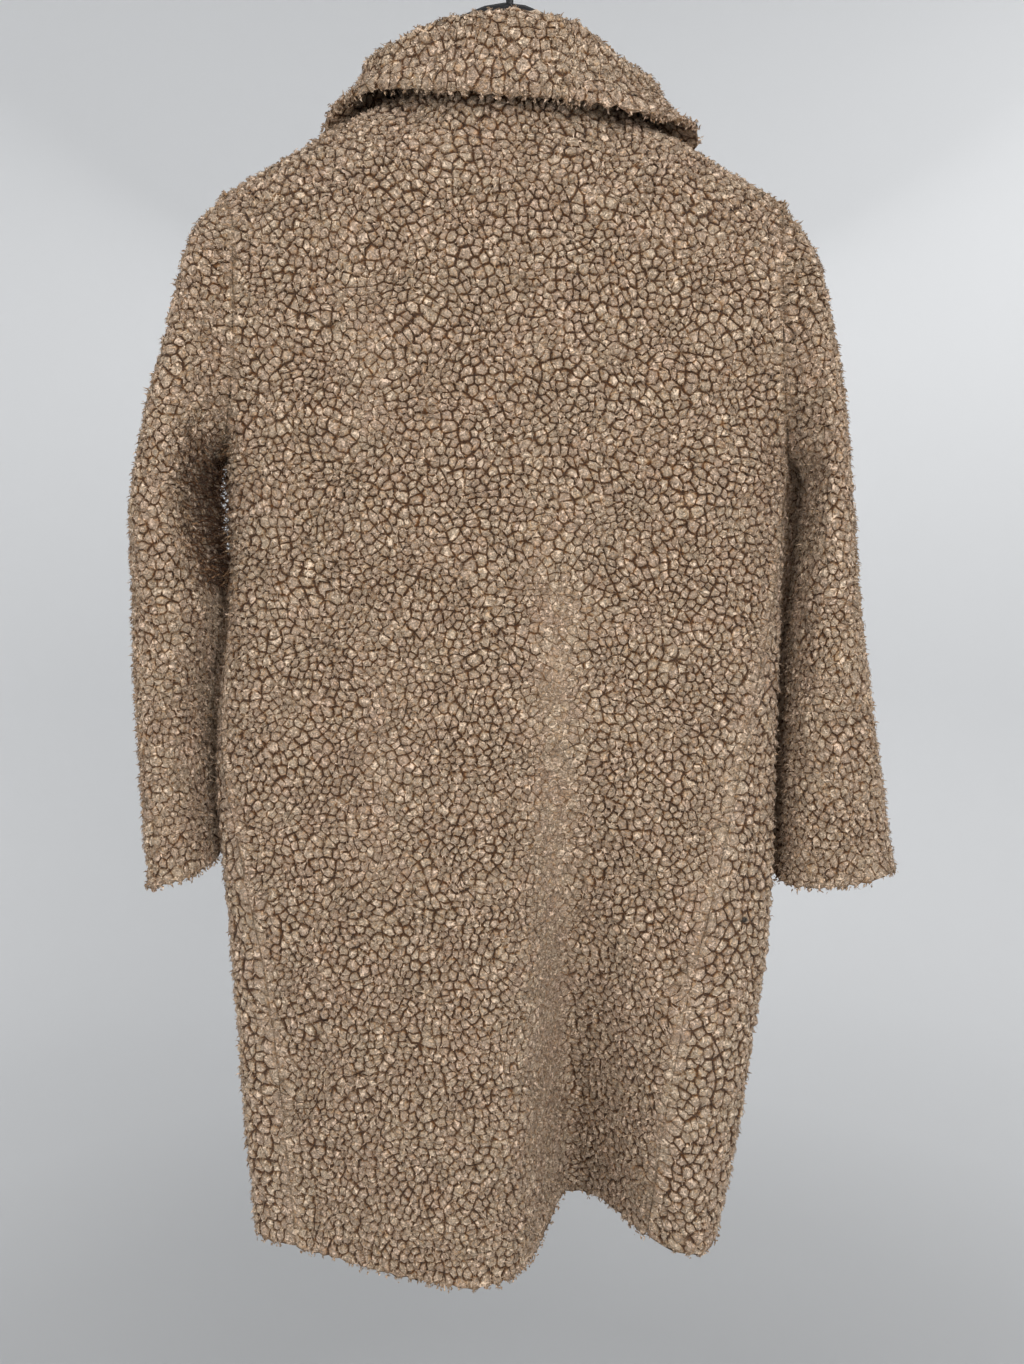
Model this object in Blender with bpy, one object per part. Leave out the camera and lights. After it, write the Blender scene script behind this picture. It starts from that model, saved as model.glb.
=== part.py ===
"""A long teddy-fur coat, hung by its hanger, as separate cut pieces.

Frame: +Z up, the coat's back faces -Y, its fronts face +Y.
Origin: where the hanger's hook bears on what it hangs from.
Each cloth piece is a closed wall: an outer face worked out from the sections and
folds below, and an inner face one wall thickness inside it.
"""
import math
from collections import namedtuple

import bmesh
import bpy
import numpy as np

MM = 0.001

# ---------------------------------------------------------------- driving sizes
WALL = 8.0 * MM             # knitted backing and its pile together
SEAM_GAP = 0.4 * MM         # clear space between two pieces at a seam
HEM_Z = -1234 * MM          # hem below the hook's bearing point
FRONT_HEM_DROP = 18 * MM    # the fronts hang this much longer than the back
ROUNDNESS = 2.6             # superellipse power of the body's section
PIT_SHARE = 0.23            # share of the side's length taken by the armhole

LEFT_TIP = (-255 * MM, -245 * MM)    # x, z of the shoulder's outer end
RIGHT_TIP = (248 * MM, -256 * MM)
SHOULDER_ROUND = 100 * MM   # drop in which the shoulder reaches its full depth
NECK_CURVE = 1.2            # power of that rounding below the neck, nearly a slope
TIP_CURVE = 2.0             # and towards the shoulder's ends, a quarter circle
CURVE_FROM, CURVE_TO = 0.7, 1.7      # it changes between these shares of the neck's width

NECK_HALF_WIDTH = 85 * MM
NECK_SIDE_Z = -160 * MM
NECK_TILT = 5.5 * MM        # the neckline's left end is this much higher, its right end lower
NECK_BACK_Y = 50 * MM       # how far the neckline lies behind the shoulder line
NECK_FRONT_Y = 55 * MM      # and in front of it
NECK_BACK_DROP = 10 * MM
NECK_FRONT_DROP = 60 * MM

OVERLAP = 50 * MM           # each front passes the centre by this
UNDERLAP_RAMP = 40 * MM     # over this width the left front dips under the right
UNDERLAP_GAP = 1.2 * MM     # clear space between the two layers

# Counts of facets
ARMHOLE_ROWS = 9
SIDE_ROWS = 15
SHOULDER_COLS = 9
NECK_COLS = 14
FRONT_NECK_COLS = 8
COLLAR_COLS = 28
DENSE = 240                 # steps along a curve before it is spaced out evenly
EVEN_FROM = 1.3             # columns are evenly spaced below this many armhole heights

# Body sections, in millimetres: height, sides of the outline, and how far the
# back and the fronts stand off the middle plane. Above the armpit the sides
# reach past the armholes, which cut them off.
Section = namedtuple("Section", "z left right back front")
SECTIONS = [
    Section(-1234, -256, 209, 90, 84),
    Section(-1140, -263, 226, 88, 82),
    Section(-1040, -267, 238, 87, 80),
    Section(-940, -271, 250, 86, 79),
    Section(-840, -277, 253, 85, 78),
    Section(-760, -279, 253, 84, 77),
    Section(-680, -272, 253, 83, 76),
    Section(-600, -261, 253, 81, 75),
    Section(-540, -260, 254, 80, 73),
    Section(-475, -260, 255, 78, 71),
    Section(-430, -276, 267, 76, 69),
    Section(-350, -290, 281, 72, 65),
    Section(-245, -298, 289, 66, 60),
    Section(-150, -300, 291, 60, 55),
]

# Armhole edges and side seams as seen from behind, in millimetres.
EdgeRow = namedtuple("EdgeRow", "z left right")
ARMHOLES = [
    EdgeRow(-481, -260, 255),
    EdgeRow(-472, -260, 252),
    EdgeRow(-464, -256, 249),
    EdgeRow(-440, -247, 244),
    EdgeRow(-390, -240, 238),
    EdgeRow(-300, -238, 236),
    EdgeRow(-245, -255, 248),
]
SIDE_SEAMS = [
    EdgeRow(-1234, -208, 134),
    EdgeRow(-1100, -216, 145),
    EdgeRow(-975, -226, 165),
    EdgeRow(-855, -246, 192),
    EdgeRow(-735, -266, 215),
    EdgeRow(-600, -260, 240),
    EdgeRow(-475, -260, 255),
]

# Folds, in millimetres: the line of each from top to low, its depth into the coat
# (negative stands out), its width to the left and right, and whether it fades
# out again at its low end.
FOLD_TOP_WIDTH = 0.6        # share of its full width that a fold has at its top
Fold = namedtuple("Fold", "face x_top z_top x_low z_low depth left right growth fades")
FOLDS = [
    Fold("back", 44, -680, 68, -1234, 146, 38, 68, 1.35, False),
    Fold("back", -10, -300, -38, -1234, -12, 62, 46, 0.6, False),
    Fold("back", -172, -230, -178, -960, 13, 52, 60, 1.0, True),
    Fold("back", 118, -230, 128, -760, 12, 52, 48, 1.0, True),
    Fold("back", 92, -790, 168, -1010, 9, 20, 26, 1.0, True),
    Fold("back", -222, -900, -222, -1234, 30, 44, 96, 0.8, False),
    Fold("back", 150, -980, 184, -1234, -9, 24, 30, 1.0, False),
    Fold("front", -128, -420, -142, -1234, 30, 46, 40, 1.1, False),
    Fold("front", 118, -520, 134, -1234, 22, 38, 50, 1.0, False),
    Fold("front", 178, -330, 160, -900, 10, 40, 34, 1.0, True),
]

# Sleeve rings in millimetres: outer and inner end in the coat's plane, middle
# depth and half depth. The first ring is the armhole itself.
Ring = namedtuple("Ring", "out_x out_z in_x in_z mid_y half_y")
LEFT_SLEEVE = [
    Ring(-273, -278, -269, -479, 0, 69),
    Ring(-295, -352, -277, -486, 1, 74),
    Ring(-322, -445, -283, -505, 3, 79),
    Ring(-340, -535, -281, -538, 6, 82),
    Ring(-344, -622, -272, -606, 10, 82),
    Ring(-345, -714, -285, -702, 13, 79),
    Ring(-345, -798, -287, -784, 14, 74),
    Ring(-343, -874, -284, -858, 12, 68),
]
RIGHT_SLEEVE = [
    Ring(262, -290, 262, -487, 0, 69),
    Ring(276, -342, 268, -500, 1, 73),
    Ring(290, -404, 269, -526, 3, 77),
    Ring(303, -486, 266, -566, 6, 79),
    Ring(317, -596, 261, -632, 10, 81),
    Ring(336, -702, 259, -707, 13, 78),
    Ring(354, -792, 259, -797, 13, 72),
    Ring(368, -860, 259, -876, 11, 64),
]
SLEEVE_ROUNDNESS = 3.0
SLEEVE_EVEN_RING = 4        # the ring from which its points are evenly spaced

# Collar, in millimetres, going round the neck from the left front end (-180) by
# the centre back (0) to the right front end (180). The fold's and the outer
# edge's places are given as the sideways and back-to-front reach of their ovals.
CollarRow = namedtuple("CollarRow", "turn fold_x fold_y fold_z edge_x edge_y edge_z")
COLLAR = [
    CollarRow(-172, 108, 70, -190, 142, 110, -286),
    CollarRow(-135, 112, 68, -168, 184, 106, -250),
    CollarRow(-90, 120, 62, -146, 174, 86, -188),
    CollarRow(-60, 124, 62, -145, 158, 84, -170),
    CollarRow(-30, 112, 62, -132, 146, 86, -180),
    CollarRow(0, 110, 60, -128, 150, 86, -188),
    CollarRow(30, 108, 62, -135, 154, 88, -191),
    CollarRow(60, 112, 64, -155, 168, 92, -195),
    CollarRow(90, 124, 64, -158, 178, 94, -192),
    CollarRow(135, 114, 68, -174, 182, 106, -252),
    CollarRow(172, 108, 70, -190, 142, 110, -286),
]
COLLAR_FOLD_RADIUS = 5 * MM
COLLAR_LIFT = 0.5 * MM      # above the neckline
COLLAR_BULGE = 10 * MM      # how far the fall rounds outwards between fold and edge
COLLAR_ROLL = 20 * MM       # how far the thick fur rolls its edge back under, behind the neck
SIDE_ROLL = 0.4             # share of that roll at the sides and the front
ROLL_FROM = 0.5             # share of the fall where the roll starts
STAND_STEPS, FOLD_STEPS, FALL_STEPS = 3, 4, 7

# Hanger
HOOK_WIRE_R = 3.4 * MM
HOOK_R = 24 * MM            # radius of the hook's bow, on its middle line
HOOK_TURNS = range(-50, 211, 10)     # degrees along the bow, from the stem to the tip
STEM = [(0, -92), (0, -72), (0.5, -58), (6, -47)]      # x, z in millimetres
HOOK_STEPS, ARM_STEPS = 30, 36
ARM_BELOW_SHOULDER = 20 * MM
ARM_HALF_Y = 6 * MM
ARM_HALF_Z = 8 * MM
ARM_START_X = 120 * MM
ARM_TIP_X = 212 * MM
ARCH = [(0, -93), (22, -96), (42, -106), (56, -124), (65, -150), (75, -175), (92, -188)]
TUBE_SIDES = 10

FUR_TAN = (0.39, 0.27, 0.185)
BLACK_PLASTIC = (0.012, 0.012, 0.013)


# ---------------------------------------------------------------- small helpers
def smooth_between(low, high, value):
    share = np.clip((np.asarray(value, float) - low) / (high - low), 0, 1)
    return share * share * (3 - 2 * share)


def follow(known, values, at):
    """A smooth curve through a short table, with no overshoot between its rows."""
    order = np.argsort(known)
    known = np.asarray(known, float)[order]
    values = np.asarray(values, float)[order]
    step = np.diff(known)
    rise = np.diff(values) / step
    slope = np.empty(len(known))
    slope[0], slope[-1] = rise[0], rise[-1]
    same_way = rise[:-1] * rise[1:] > 0
    with np.errstate(divide="ignore", invalid="ignore"):
        mean = 2 * rise[:-1] * rise[1:] / (rise[:-1] + rise[1:])
    slope[1:-1] = np.where(same_way, mean, 0)
    at = np.clip(np.asarray(at, float), known[0], known[-1])
    i = np.clip(np.searchsorted(known, at) - 1, 0, len(step) - 1)
    h, t = step[i], (at - known[i]) / step[i]
    return ((1 + 2 * t) * (1 - t) ** 2 * values[i] + t * (1 - t) ** 2 * h * slope[i]
            + t * t * (3 - 2 * t) * values[i + 1] + t * t * (t - 1) * h * slope[i + 1])


def column(table, name, at, key="z"):
    """One column of a millimetre table, in metres, at heights given in metres."""
    known = [getattr(row, key) for row in table]
    scale = MM if key == "z" else 1
    return follow(np.array(known) * scale, [getattr(row, name) * MM for row in table], at)


def arc_shares(points):
    steps = np.linalg.norm(np.diff(points, axis=0), axis=1)
    run = np.concatenate([[0], np.cumsum(steps)])
    return run / run[-1]


def at_shares(points, shares):
    run = arc_shares(points)
    return np.stack([np.interp(shares, run, points[:, k]) for k in range(3)], axis=1)


# ---------------------------------------------------------------- the body's skin
def shoulder_z(x):
    """Height of the shoulder line and, between its ends, of the neck's side points."""
    x = np.asarray(x, float)
    tip_x = np.where(x < 0, LEFT_TIP[0], RIGHT_TIP[0])
    tip_z = np.where(x < 0, LEFT_TIP[1], RIGHT_TIP[1])
    share = (np.abs(x) - NECK_HALF_WIDTH) / (np.abs(tip_x) - NECK_HALF_WIDTH)
    neck_z = NECK_SIDE_Z - NECK_TILT * np.clip(x / NECK_HALF_WIDTH, -1, 1)
    return neck_z + np.maximum(share, 0) * (tip_z - neck_z)


def neck_cos(x):
    return np.sqrt(np.maximum(0, 1 - (np.asarray(x, float) / NECK_HALF_WIDTH) ** 2))


def fold_shift(face, x, z):
    """How far the folds push one face of the body inwards."""
    shift = np.zeros(np.broadcast(x, z).shape)
    for fold in FOLDS:
        if fold.face != face:
            continue
        run = np.clip((fold.z_top * MM - z) / ((fold.z_top - fold.z_low) * MM), 0, 1)
        line = (fold.x_top + (fold.x_low - fold.x_top) * run) * MM
        width = np.where(x < line, fold.left, fold.right) * MM
        width = width * (FOLD_TOP_WIDTH + (1 - FOLD_TOP_WIDTH) * run)
        if fold.fades:
            strength = np.sin(math.pi * run) ** 2
        else:
            strength = run ** fold.growth
        shift += fold.depth * MM * strength * np.exp(-((x - line) / width) ** 2)
    return shift


def skin(theta, share):
    """Outer face of the body. theta goes round it: 0 right side, pi/2 centre back,
    pi left side, 3pi/2 centre front. share runs from the top edge, 0, to the hem, 1."""
    theta = np.asarray(theta, float)
    left_z = LEFT_TIP[1] * (1 - share) + HEM_Z * share
    right_z = RIGHT_TIP[1] * (1 - share) + HEM_Z * share
    left, right = column(SECTIONS, "left", left_z), column(SECTIONS, "right", right_z)
    middle, half = (left + right) / 2, (right - left) / 2
    c, s = np.cos(theta), np.sin(theta)
    x = middle + half * np.sign(c) * np.abs(c) ** (2 / ROUNDNESS)
    depth = np.abs(s) ** (2 / ROUNDNESS)
    behind = s >= 0
    neck = neck_cos(x)
    neck_y = neck * np.where(behind, NECK_BACK_Y, NECK_FRONT_Y)
    top = shoulder_z(x) - neck ** 2 * np.where(behind, NECK_BACK_DROP, NECK_FRONT_DROP)
    hem = HEM_Z - np.where(behind, 0, FRONT_HEM_DROP * depth)
    z = top * (1 - share) + hem * share
    reach = np.where(behind, column(SECTIONS, "back", z), column(SECTIONS, "front", z)) * depth
    fall = np.clip((top - z) / SHOULDER_ROUND, 0, 1)
    outwards = smooth_between(CURVE_FROM, CURVE_TO, np.abs(x) / NECK_HALF_WIDTH)
    power = NECK_CURVE + (TIP_CURVE - NECK_CURVE) * outwards
    rounded = (1 - (1 - fall) ** power) ** (1 / power)
    inwards = np.where(behind, fold_shift("back", x, z), fold_shift("front", x, z))
    y = neck_y + (reach - neck_y) * rounded - inwards * depth * rounded
    return np.stack([x, np.where(behind, -y, y), z], axis=-1)


def theta_at(x, share, behind=True):
    """The turn at which the skin passes a sideways place."""
    left = column(SECTIONS, "left", LEFT_TIP[1] * (1 - share) + HEM_Z * share)
    right = column(SECTIONS, "right", RIGHT_TIP[1] * (1 - share) + HEM_Z * share)
    u = np.clip((x - (left + right) / 2) / ((right - left) / 2), -1, 1)
    theta = math.acos(np.sign(u) * np.abs(u) ** (ROUNDNESS / 2))
    return theta if behind else 2 * math.pi - theta


def edge_theta(share, side, behind):
    """Where a panel's side edge lies: the armhole above the armpit, the seam below."""
    tip = LEFT_TIP if side == "left" else RIGHT_TIP
    z = tip[1] * (1 - share) + HEM_Z * share
    if share >= PIT_SHARE:
        return theta_at(column(SIDE_SEAMS, side, z), share)
    return theta_at(column(ARMHOLES, side, z), share, behind)


def row_shares():
    upper = PIT_SHARE * (1 - np.cos(np.linspace(0, math.pi, ARMHOLE_ROWS + 1))) / 2
    lower = np.linspace(PIT_SHARE, 1, SIDE_ROWS + 1)[1:]
    return np.concatenate([upper, lower])


def spaced_columns(path, corner_share, corners, count, share):
    """Places a row's columns: the neck's corner columns start at the neck points and
    drift to an even spacing further down."""
    even = np.array(corners) / count
    drift = smooth_between(0, PIT_SHARE * EVEN_FROM, share)
    knots = np.asarray(corner_share) * (1 - drift) + even * drift
    shares = np.interp(np.arange(count + 1), [0, *corners, count], [0, *knots, 1])
    return at_shares(path, shares)


def back_grid():
    rows = []
    count = 2 * SHOULDER_COLS + NECK_COLS
    corner_share = None
    for share in row_shares():
        thetas = np.linspace(edge_theta(share, "left", True), edge_theta(share, "right", True), DENSE)
        if share == 0:
            ends = [theta_at(x, 0) for x in (-NECK_HALF_WIDTH, NECK_HALF_WIDTH)]
            thetas = np.sort(np.concatenate([thetas, ends]))[::-1]
        path = skin(thetas, share)
        if share == 0:
            run = arc_shares(path)
            corner_share = [run[int(np.argmin(np.abs(thetas - end)))] for end in ends]
        corners = [SHOULDER_COLS, SHOULDER_COLS + NECK_COLS]
        rows.append(spaced_columns(path, corner_share, corners, count, share))
    return np.array(rows)


def front_grid(side):
    """One front, from its armhole and side seam to its free edge past the centre."""
    sign = 1 if side == "left" else -1
    rows = []
    count = SHOULDER_COLS + FRONT_NECK_COLS
    corner_share = None
    for share in row_shares():
        start = edge_theta(share, side, False)
        end = theta_at(sign * OVERLAP, share, False)
        if side == "right" and start < math.pi:
            start += 2 * math.pi
        thetas = np.linspace(start, end, DENSE)
        if share == 0:
            corner = theta_at(-sign * NECK_HALF_WIDTH, 0, False)
            thetas = np.sort(np.append(thetas, corner))[::sign]
        path = skin(thetas, share)
        if side == "left":
            under = smooth_between(-OVERLAP - UNDERLAP_RAMP, -OVERLAP, path[:, 0])
            under = np.where(path[:, 1] > 0, under, 0)
            path[:, 1] -= under * (WALL + UNDERLAP_GAP)
        if share == 0:
            corner_share = [arc_shares(path)[int(np.argmin(np.abs(thetas - corner)))]]
        rows.append(spaced_columns(path, corner_share, [SHOULDER_COLS], count, share))
    return np.array(rows)


def sleeve_grid(table, armhole):
    """Rings from the armhole loop to the cuff. Their points are spaced as the armhole's
    are at first, and evenly from the fourth ring on."""
    loop = np.concatenate([armhole, armhole[:1]])
    start = arc_shares(loop)[:-1]
    even = np.arange(len(armhole)) / len(armhole)
    rows = [armhole]
    phi = np.linspace(0, 2 * math.pi, DENSE)
    c, s = np.cos(phi), np.sin(phi)
    for number, ring in enumerate(table, 1):
        drift = min(1, number / SLEEVE_EVEN_RING)
        shares = start * (1 - drift) + even * drift
        outer = np.array([ring.out_x, 0, ring.out_z]) * MM
        inner = np.array([ring.in_x, 0, ring.in_z]) * MM
        along = (np.sign(c) * np.abs(c) ** (2 / SLEEVE_ROUNDNESS))[:, None]
        across = np.sign(s) * np.abs(s) ** (2 / SLEEVE_ROUNDNESS)
        path = (outer + inner) / 2 + along * (outer - inner) / 2
        path[:, 1] += (ring.mid_y - ring.half_y * across) * MM
        rows.append(at_shares(path, shares))
    return np.array(rows)


# ---------------------------------------------------------------- the collar
def neck_point(turn):
    """The neckline at a turn about the neck: 0 centre back, 90 right, 180 front."""
    a = math.radians(turn)
    behind = math.cos(a) >= 0
    y = -math.cos(a) * (NECK_BACK_Y if behind else NECK_FRONT_Y)
    drop = math.cos(a) ** 2 * (NECK_BACK_DROP if behind else NECK_FRONT_DROP)
    z = NECK_SIDE_Z - NECK_TILT * math.sin(a) - drop + COLLAR_LIFT
    return np.array([NECK_HALF_WIDTH * math.sin(a), y, z])


def collar_path(turn):
    """Underside of the collar at one turn: up the stand, over the fold, down the fall."""
    a = math.radians(turn)
    round_neck = np.array([math.sin(a), -math.cos(a)])

    def place(name):
        return column(COLLAR, name, turn, key="turn")

    seam = neck_point(turn)
    fold = np.array([place("fold_x") * round_neck[0], place("fold_y") * round_neck[1], place("fold_z")])
    edge = np.array([place("edge_x") * round_neck[0], place("edge_y") * round_neck[1], place("edge_z")])
    out = np.array([edge[0] - fold[0], edge[1] - fold[1], 0])
    out /= np.linalg.norm(out)
    up = np.array([0, 0, 1.0])
    r = COLLAR_FOLD_RADIUS
    stand_top = fold - out * r
    stand = [seam + (stand_top - seam) * k / STAND_STEPS for k in range(STAND_STEPS)]
    angles = [math.pi * k / FOLD_STEPS for k in range(FOLD_STEPS + 1)]
    bow = [fold + r * (up * math.sin(t) - out * math.cos(t)) for t in angles]
    start = bow[-1]
    side = np.cross(np.cross(out, up), edge - start)
    side *= -1 / np.linalg.norm(side)
    roll = COLLAR_ROLL * (1 - (1 - SIDE_ROLL) * smooth_between(45, 110, abs(turn)))
    fall = [start + (edge - start) * t + side * COLLAR_BULGE * math.sin(math.pi * t)
            - out * roll * max(0, (t - ROLL_FROM) / (1 - ROLL_FROM)) ** 2
            for t in (k / FALL_STEPS for k in range(1, FALL_STEPS + 1))]
    return np.array(stand + bow + fall)


def collar_grid():
    turns = np.linspace(COLLAR[0].turn, COLLAR[-1].turn, COLLAR_COLS + 1)
    return np.stack([collar_path(turn) for turn in turns], axis=1)


# ---------------------------------------------------------------- walls from grids
def face_corners(rows, cols, closed):
    last = cols if closed else cols - 1
    return [(i, j, (j + 1) % cols) for i in range(rows - 1) for j in range(last)]


def grid_normals(grid, closed):
    """Area-weighted normals of one grid's points, towards its outer side."""
    rows, cols = grid.shape[:2]
    normals = np.zeros_like(grid)
    for i, j, k in face_corners(rows, cols, closed):
        a, b, c, d = grid[i, j], grid[i + 1, j], grid[i + 1, k], grid[i, k]
        n = np.cross(c - a, d - b)
        for r, q in ((i, j), (i + 1, j), (i + 1, k), (i, k)):
            normals[r, q] += n
    return normals


def place_key(point):
    return tuple(int(round(v / (0.02 * MM))) for v in point)


def shared_normals(grids):
    """Makes pieces that meet at a seam turn their walls the same way there: half way
    between the body's side and the sleeve's at an armhole."""
    total = {}
    for name, (grid, closed, flip) in grids.items():
        ways = grid_normals(grid, closed) * (-1 if flip else 1)
        for point, way in zip(grid.reshape(-1, 3), ways.reshape(-1, 3)):
            sides = total.setdefault(place_key(point), {})
            sides[closed] = sides.get(closed, 0) + way
    unit = {}
    for name, (grid, closed, flip) in grids.items():
        flat = []
        for point in grid.reshape(-1, 3):
            way = sum(side / np.linalg.norm(side) for side in total[place_key(point)].values())
            flat.append(way / np.linalg.norm(way))
        unit[name] = np.array(flat).reshape(grid.shape)
    return unit


def seam_shift(edge, inner, closed):
    """Half a seam gap, square to each point's two stretches of edge, into the piece."""
    ahead = np.roll(edge, -1, axis=0) - edge
    behind = np.roll(ahead, 1, axis=0)
    if not closed:
        ahead[-1] = behind[-1]
        behind[0] = ahead[0]
    way = inner - edge

    def square_to(along):
        along = along / np.linalg.norm(along, axis=1)[:, None]
        square = way - (way * along).sum(axis=1)[:, None] * along
        return square / np.linalg.norm(square, axis=1)[:, None]

    a, b = square_to(ahead), square_to(behind)
    return (a + b) * (SEAM_GAP / 2 / (1 + (a * b).sum(axis=1)))[:, None]


def open_seams(grid, closed):
    """Draws a grid's edges back by half a seam gap."""
    out = grid.copy()
    out[0] += seam_shift(grid[0], grid[1], closed)
    out[-1] += seam_shift(grid[-1], grid[-2], closed)
    if not closed:
        out[:, 0] += seam_shift(grid[:, 0], grid[:, 1], False)
        out[:, -1] += seam_shift(grid[:, -1], grid[:, -2], False)
    return out


def wall_mesh(name, grid, normals, closed):
    """A closed wall between a grid and the same grid moved in by its thickness."""
    rows, cols = grid.shape[:2]
    outer = open_seams(grid, closed)
    inner = open_seams(grid - normals * WALL, closed)
    mesh = bpy.data.meshes.new(name)
    bm = bmesh.new()
    top = [[bm.verts.new(p) for p in row] for row in outer]
    low = [[bm.verts.new(p) for p in row] for row in inner]
    for i, j, k in face_corners(rows, cols, closed):
        bm.faces.new((top[i][j], top[i + 1][j], top[i + 1][k], top[i][k]))
        bm.faces.new((low[i][j], low[i][k], low[i + 1][k], low[i + 1][j]))
    last = cols if closed else cols - 1
    for i in (0, rows - 1):
        for j in range(last):
            k = (j + 1) % cols
            bm.faces.new((top[i][j], top[i][k], low[i][k], low[i][j]))
    if not closed:
        for j in (0, cols - 1):
            for i in range(rows - 1):
                bm.faces.new((top[i][j], low[i][j], low[i + 1][j], top[i + 1][j]))
    bmesh.ops.recalc_face_normals(bm, faces=bm.faces)
    bmesh.ops.triangulate(bm, faces=bm.faces)
    bm.to_mesh(mesh)
    bm.free()
    mesh.shade_smooth()
    mesh.set_sharp_from_angle(angle=math.radians(50))
    return mesh


# ---------------------------------------------------------------- the hanger
def tube_mesh(name, path, half_a, half_b):
    """A bar with round ends and an oval section along a path in the XZ plane."""
    path = np.asarray(path, float)
    tangent = np.gradient(path, axis=0)
    tangent /= np.linalg.norm(tangent, axis=1)[:, None]
    across = np.array([0, 1.0, 0])
    mesh = bpy.data.meshes.new(name)
    bm = bmesh.new()
    rings = []
    last = len(path) - 1
    stations = [(i, 0, 1) for i in range(len(path))]
    for degrees in (30, 65):
        ahead, size = math.sin(math.radians(degrees)), math.cos(math.radians(degrees))
        stations = [(0, -ahead, size)] + stations + [(last, ahead, size)]
    for i, ahead, size in stations:
        side = np.cross(tangent[i], across)
        centre = path[i] + tangent[i] * ahead * half_a
        ring = []
        for k in range(TUBE_SIDES):
            a = 2 * math.pi * k / TUBE_SIDES
            offset = across * half_a * math.cos(a) + side * half_b * math.sin(a)
            ring.append(bm.verts.new(centre + offset * size))
        rings.append(ring)
    for low, high in zip(rings, rings[1:]):
        for k in range(TUBE_SIDES):
            n = (k + 1) % TUBE_SIDES
            bm.faces.new((low[k], low[n], high[n], high[k]))
    bm.faces.new(rings[0][::-1])
    bm.faces.new(rings[-1])
    bmesh.ops.recalc_face_normals(bm, faces=bm.faces)
    bm.to_mesh(mesh)
    bm.free()
    return mesh


def smooth_path(points, steps):
    """A smooth curve through a few points, evenly stepped."""
    points = np.asarray(points, float)
    run = arc_shares(points)
    fine = np.linspace(0, 1, steps * 8)
    dense = np.stack([follow(run, points[:, k], fine) for k in range(3)], axis=1)
    return at_shares(dense, np.linspace(0, 1, steps))


def arm_path():
    half = [(x * MM, 0, z * MM) for x, z in ARCH]
    for x in np.linspace(ARM_START_X, ARM_TIP_X, 4):
        half.append((x, 0, float(shoulder_z(-x)) - ARM_BELOW_SHOULDER))
    right = []
    for x, y, z in half[1:]:
        lower = float(shoulder_z(x) - shoulder_z(-x))
        right.append((x, y, z + lower))
    left = [(-x, y, z) for x, y, z in half]
    return smooth_path(left[::-1] + right, ARM_STEPS)


def hook_path():
    centre_z = -(HOOK_R - HOOK_WIRE_R)
    bow = []
    for degrees in HOOK_TURNS:
        a = math.radians(degrees)
        bow.append((HOOK_R * math.cos(a), 0, centre_z + HOOK_R * math.sin(a)))
    stem = [(x * MM, 0, z * MM) for x, z in STEM]
    return smooth_path(stem + bow, HOOK_STEPS)


# ---------------------------------------------------------------- objects
def material(name, colour, roughness):
    made = bpy.data.materials.new(name)
    made.use_nodes = True
    shader = made.node_tree.nodes["Principled BSDF"]
    shader.inputs["Base Color"].default_value = (*colour, 1)
    shader.inputs["Roughness"].default_value = roughness
    shader.inputs["Metallic"].default_value = 0
    return made


def add_object(name, mesh, finish):
    thing = bpy.data.objects.new(name, mesh)
    bpy.context.scene.collection.objects.link(thing)
    thing.data.materials.append(finish)
    return thing


def build_cloth():
    back = back_grid()
    fronts = {side: front_grid(side) for side in ("left", "right")}
    sleeves = {}
    for side, col, table in (("left", 0, LEFT_SLEEVE), ("right", -1, RIGHT_SLEEVE)):
        behind = back[:ARMHOLE_ROWS + 1, col]
        before = fronts[side][1:ARMHOLE_ROWS, 0][::-1]
        sleeves[side] = sleeve_grid(table, np.concatenate([behind, before]))
    grids = {
        "back": (back, False, False),
        "front_left": (fronts["left"], False, True),
        "front_right": (fronts["right"], False, False),
        "sleeve_left": (sleeves["left"], True, False),
        "sleeve_right": (sleeves["right"], True, True),
    }
    normals = shared_normals(grids)
    for name, (grid, closed, flip) in grids.items():
        mesh = wall_mesh(name, grid, normals[name], closed)
        add_object(name, mesh, material("fur_" + name, FUR_TAN, 0.95))
    collar = collar_grid()
    under = -grid_normals(collar, False)
    under /= np.linalg.norm(under, axis=2)[..., None]
    mesh = wall_mesh("collar", collar, under, False)
    add_object("collar", mesh, material("fur_collar", FUR_TAN, 0.95))


def build_hanger():
    finish = material("black_plastic", BLACK_PLASTIC, 0.35)
    arms = add_object("hanger", tube_mesh("hanger", arm_path(), ARM_HALF_Y, ARM_HALF_Z), finish)
    hook = add_object("hook_cutter", tube_mesh("hook", hook_path(), HOOK_WIRE_R, HOOK_WIRE_R), finish)
    hook.hide_render = True
    hook.display_type = "WIRE"
    join = arms.modifiers.new("hook", "BOOLEAN")
    join.operation = "UNION"
    join.solver = "EXACT"
    join.object = hook
    arms.data.shade_smooth()
    arms.data.set_sharp_from_angle(angle=math.radians(50))


for thing in list(bpy.data.objects):
    bpy.data.objects.remove(thing, do_unlink=True)
build_cloth()
build_hanger()
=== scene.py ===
# %% [markdown]
# # A long teddy-fur coat on its hanger
# The coat is cut from teddy fur: a knitted backing with a deep curly pile that felts into
# clumps the size of a fingertip, with dark gaps between them. It hangs by a plain black
# hanger, its back to the viewer. The frame gives each cut piece's place and size, so this
# script works out the same forms again, covers them in pile, and sets the light and camera.

# %% Load the frame
import math
from collections import namedtuple

import bpy
import numpy as np
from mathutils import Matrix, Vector
from mathutils.bvhtree import BVHTree
from mathutils.geometry import delaunay_2d_cdt


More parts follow.
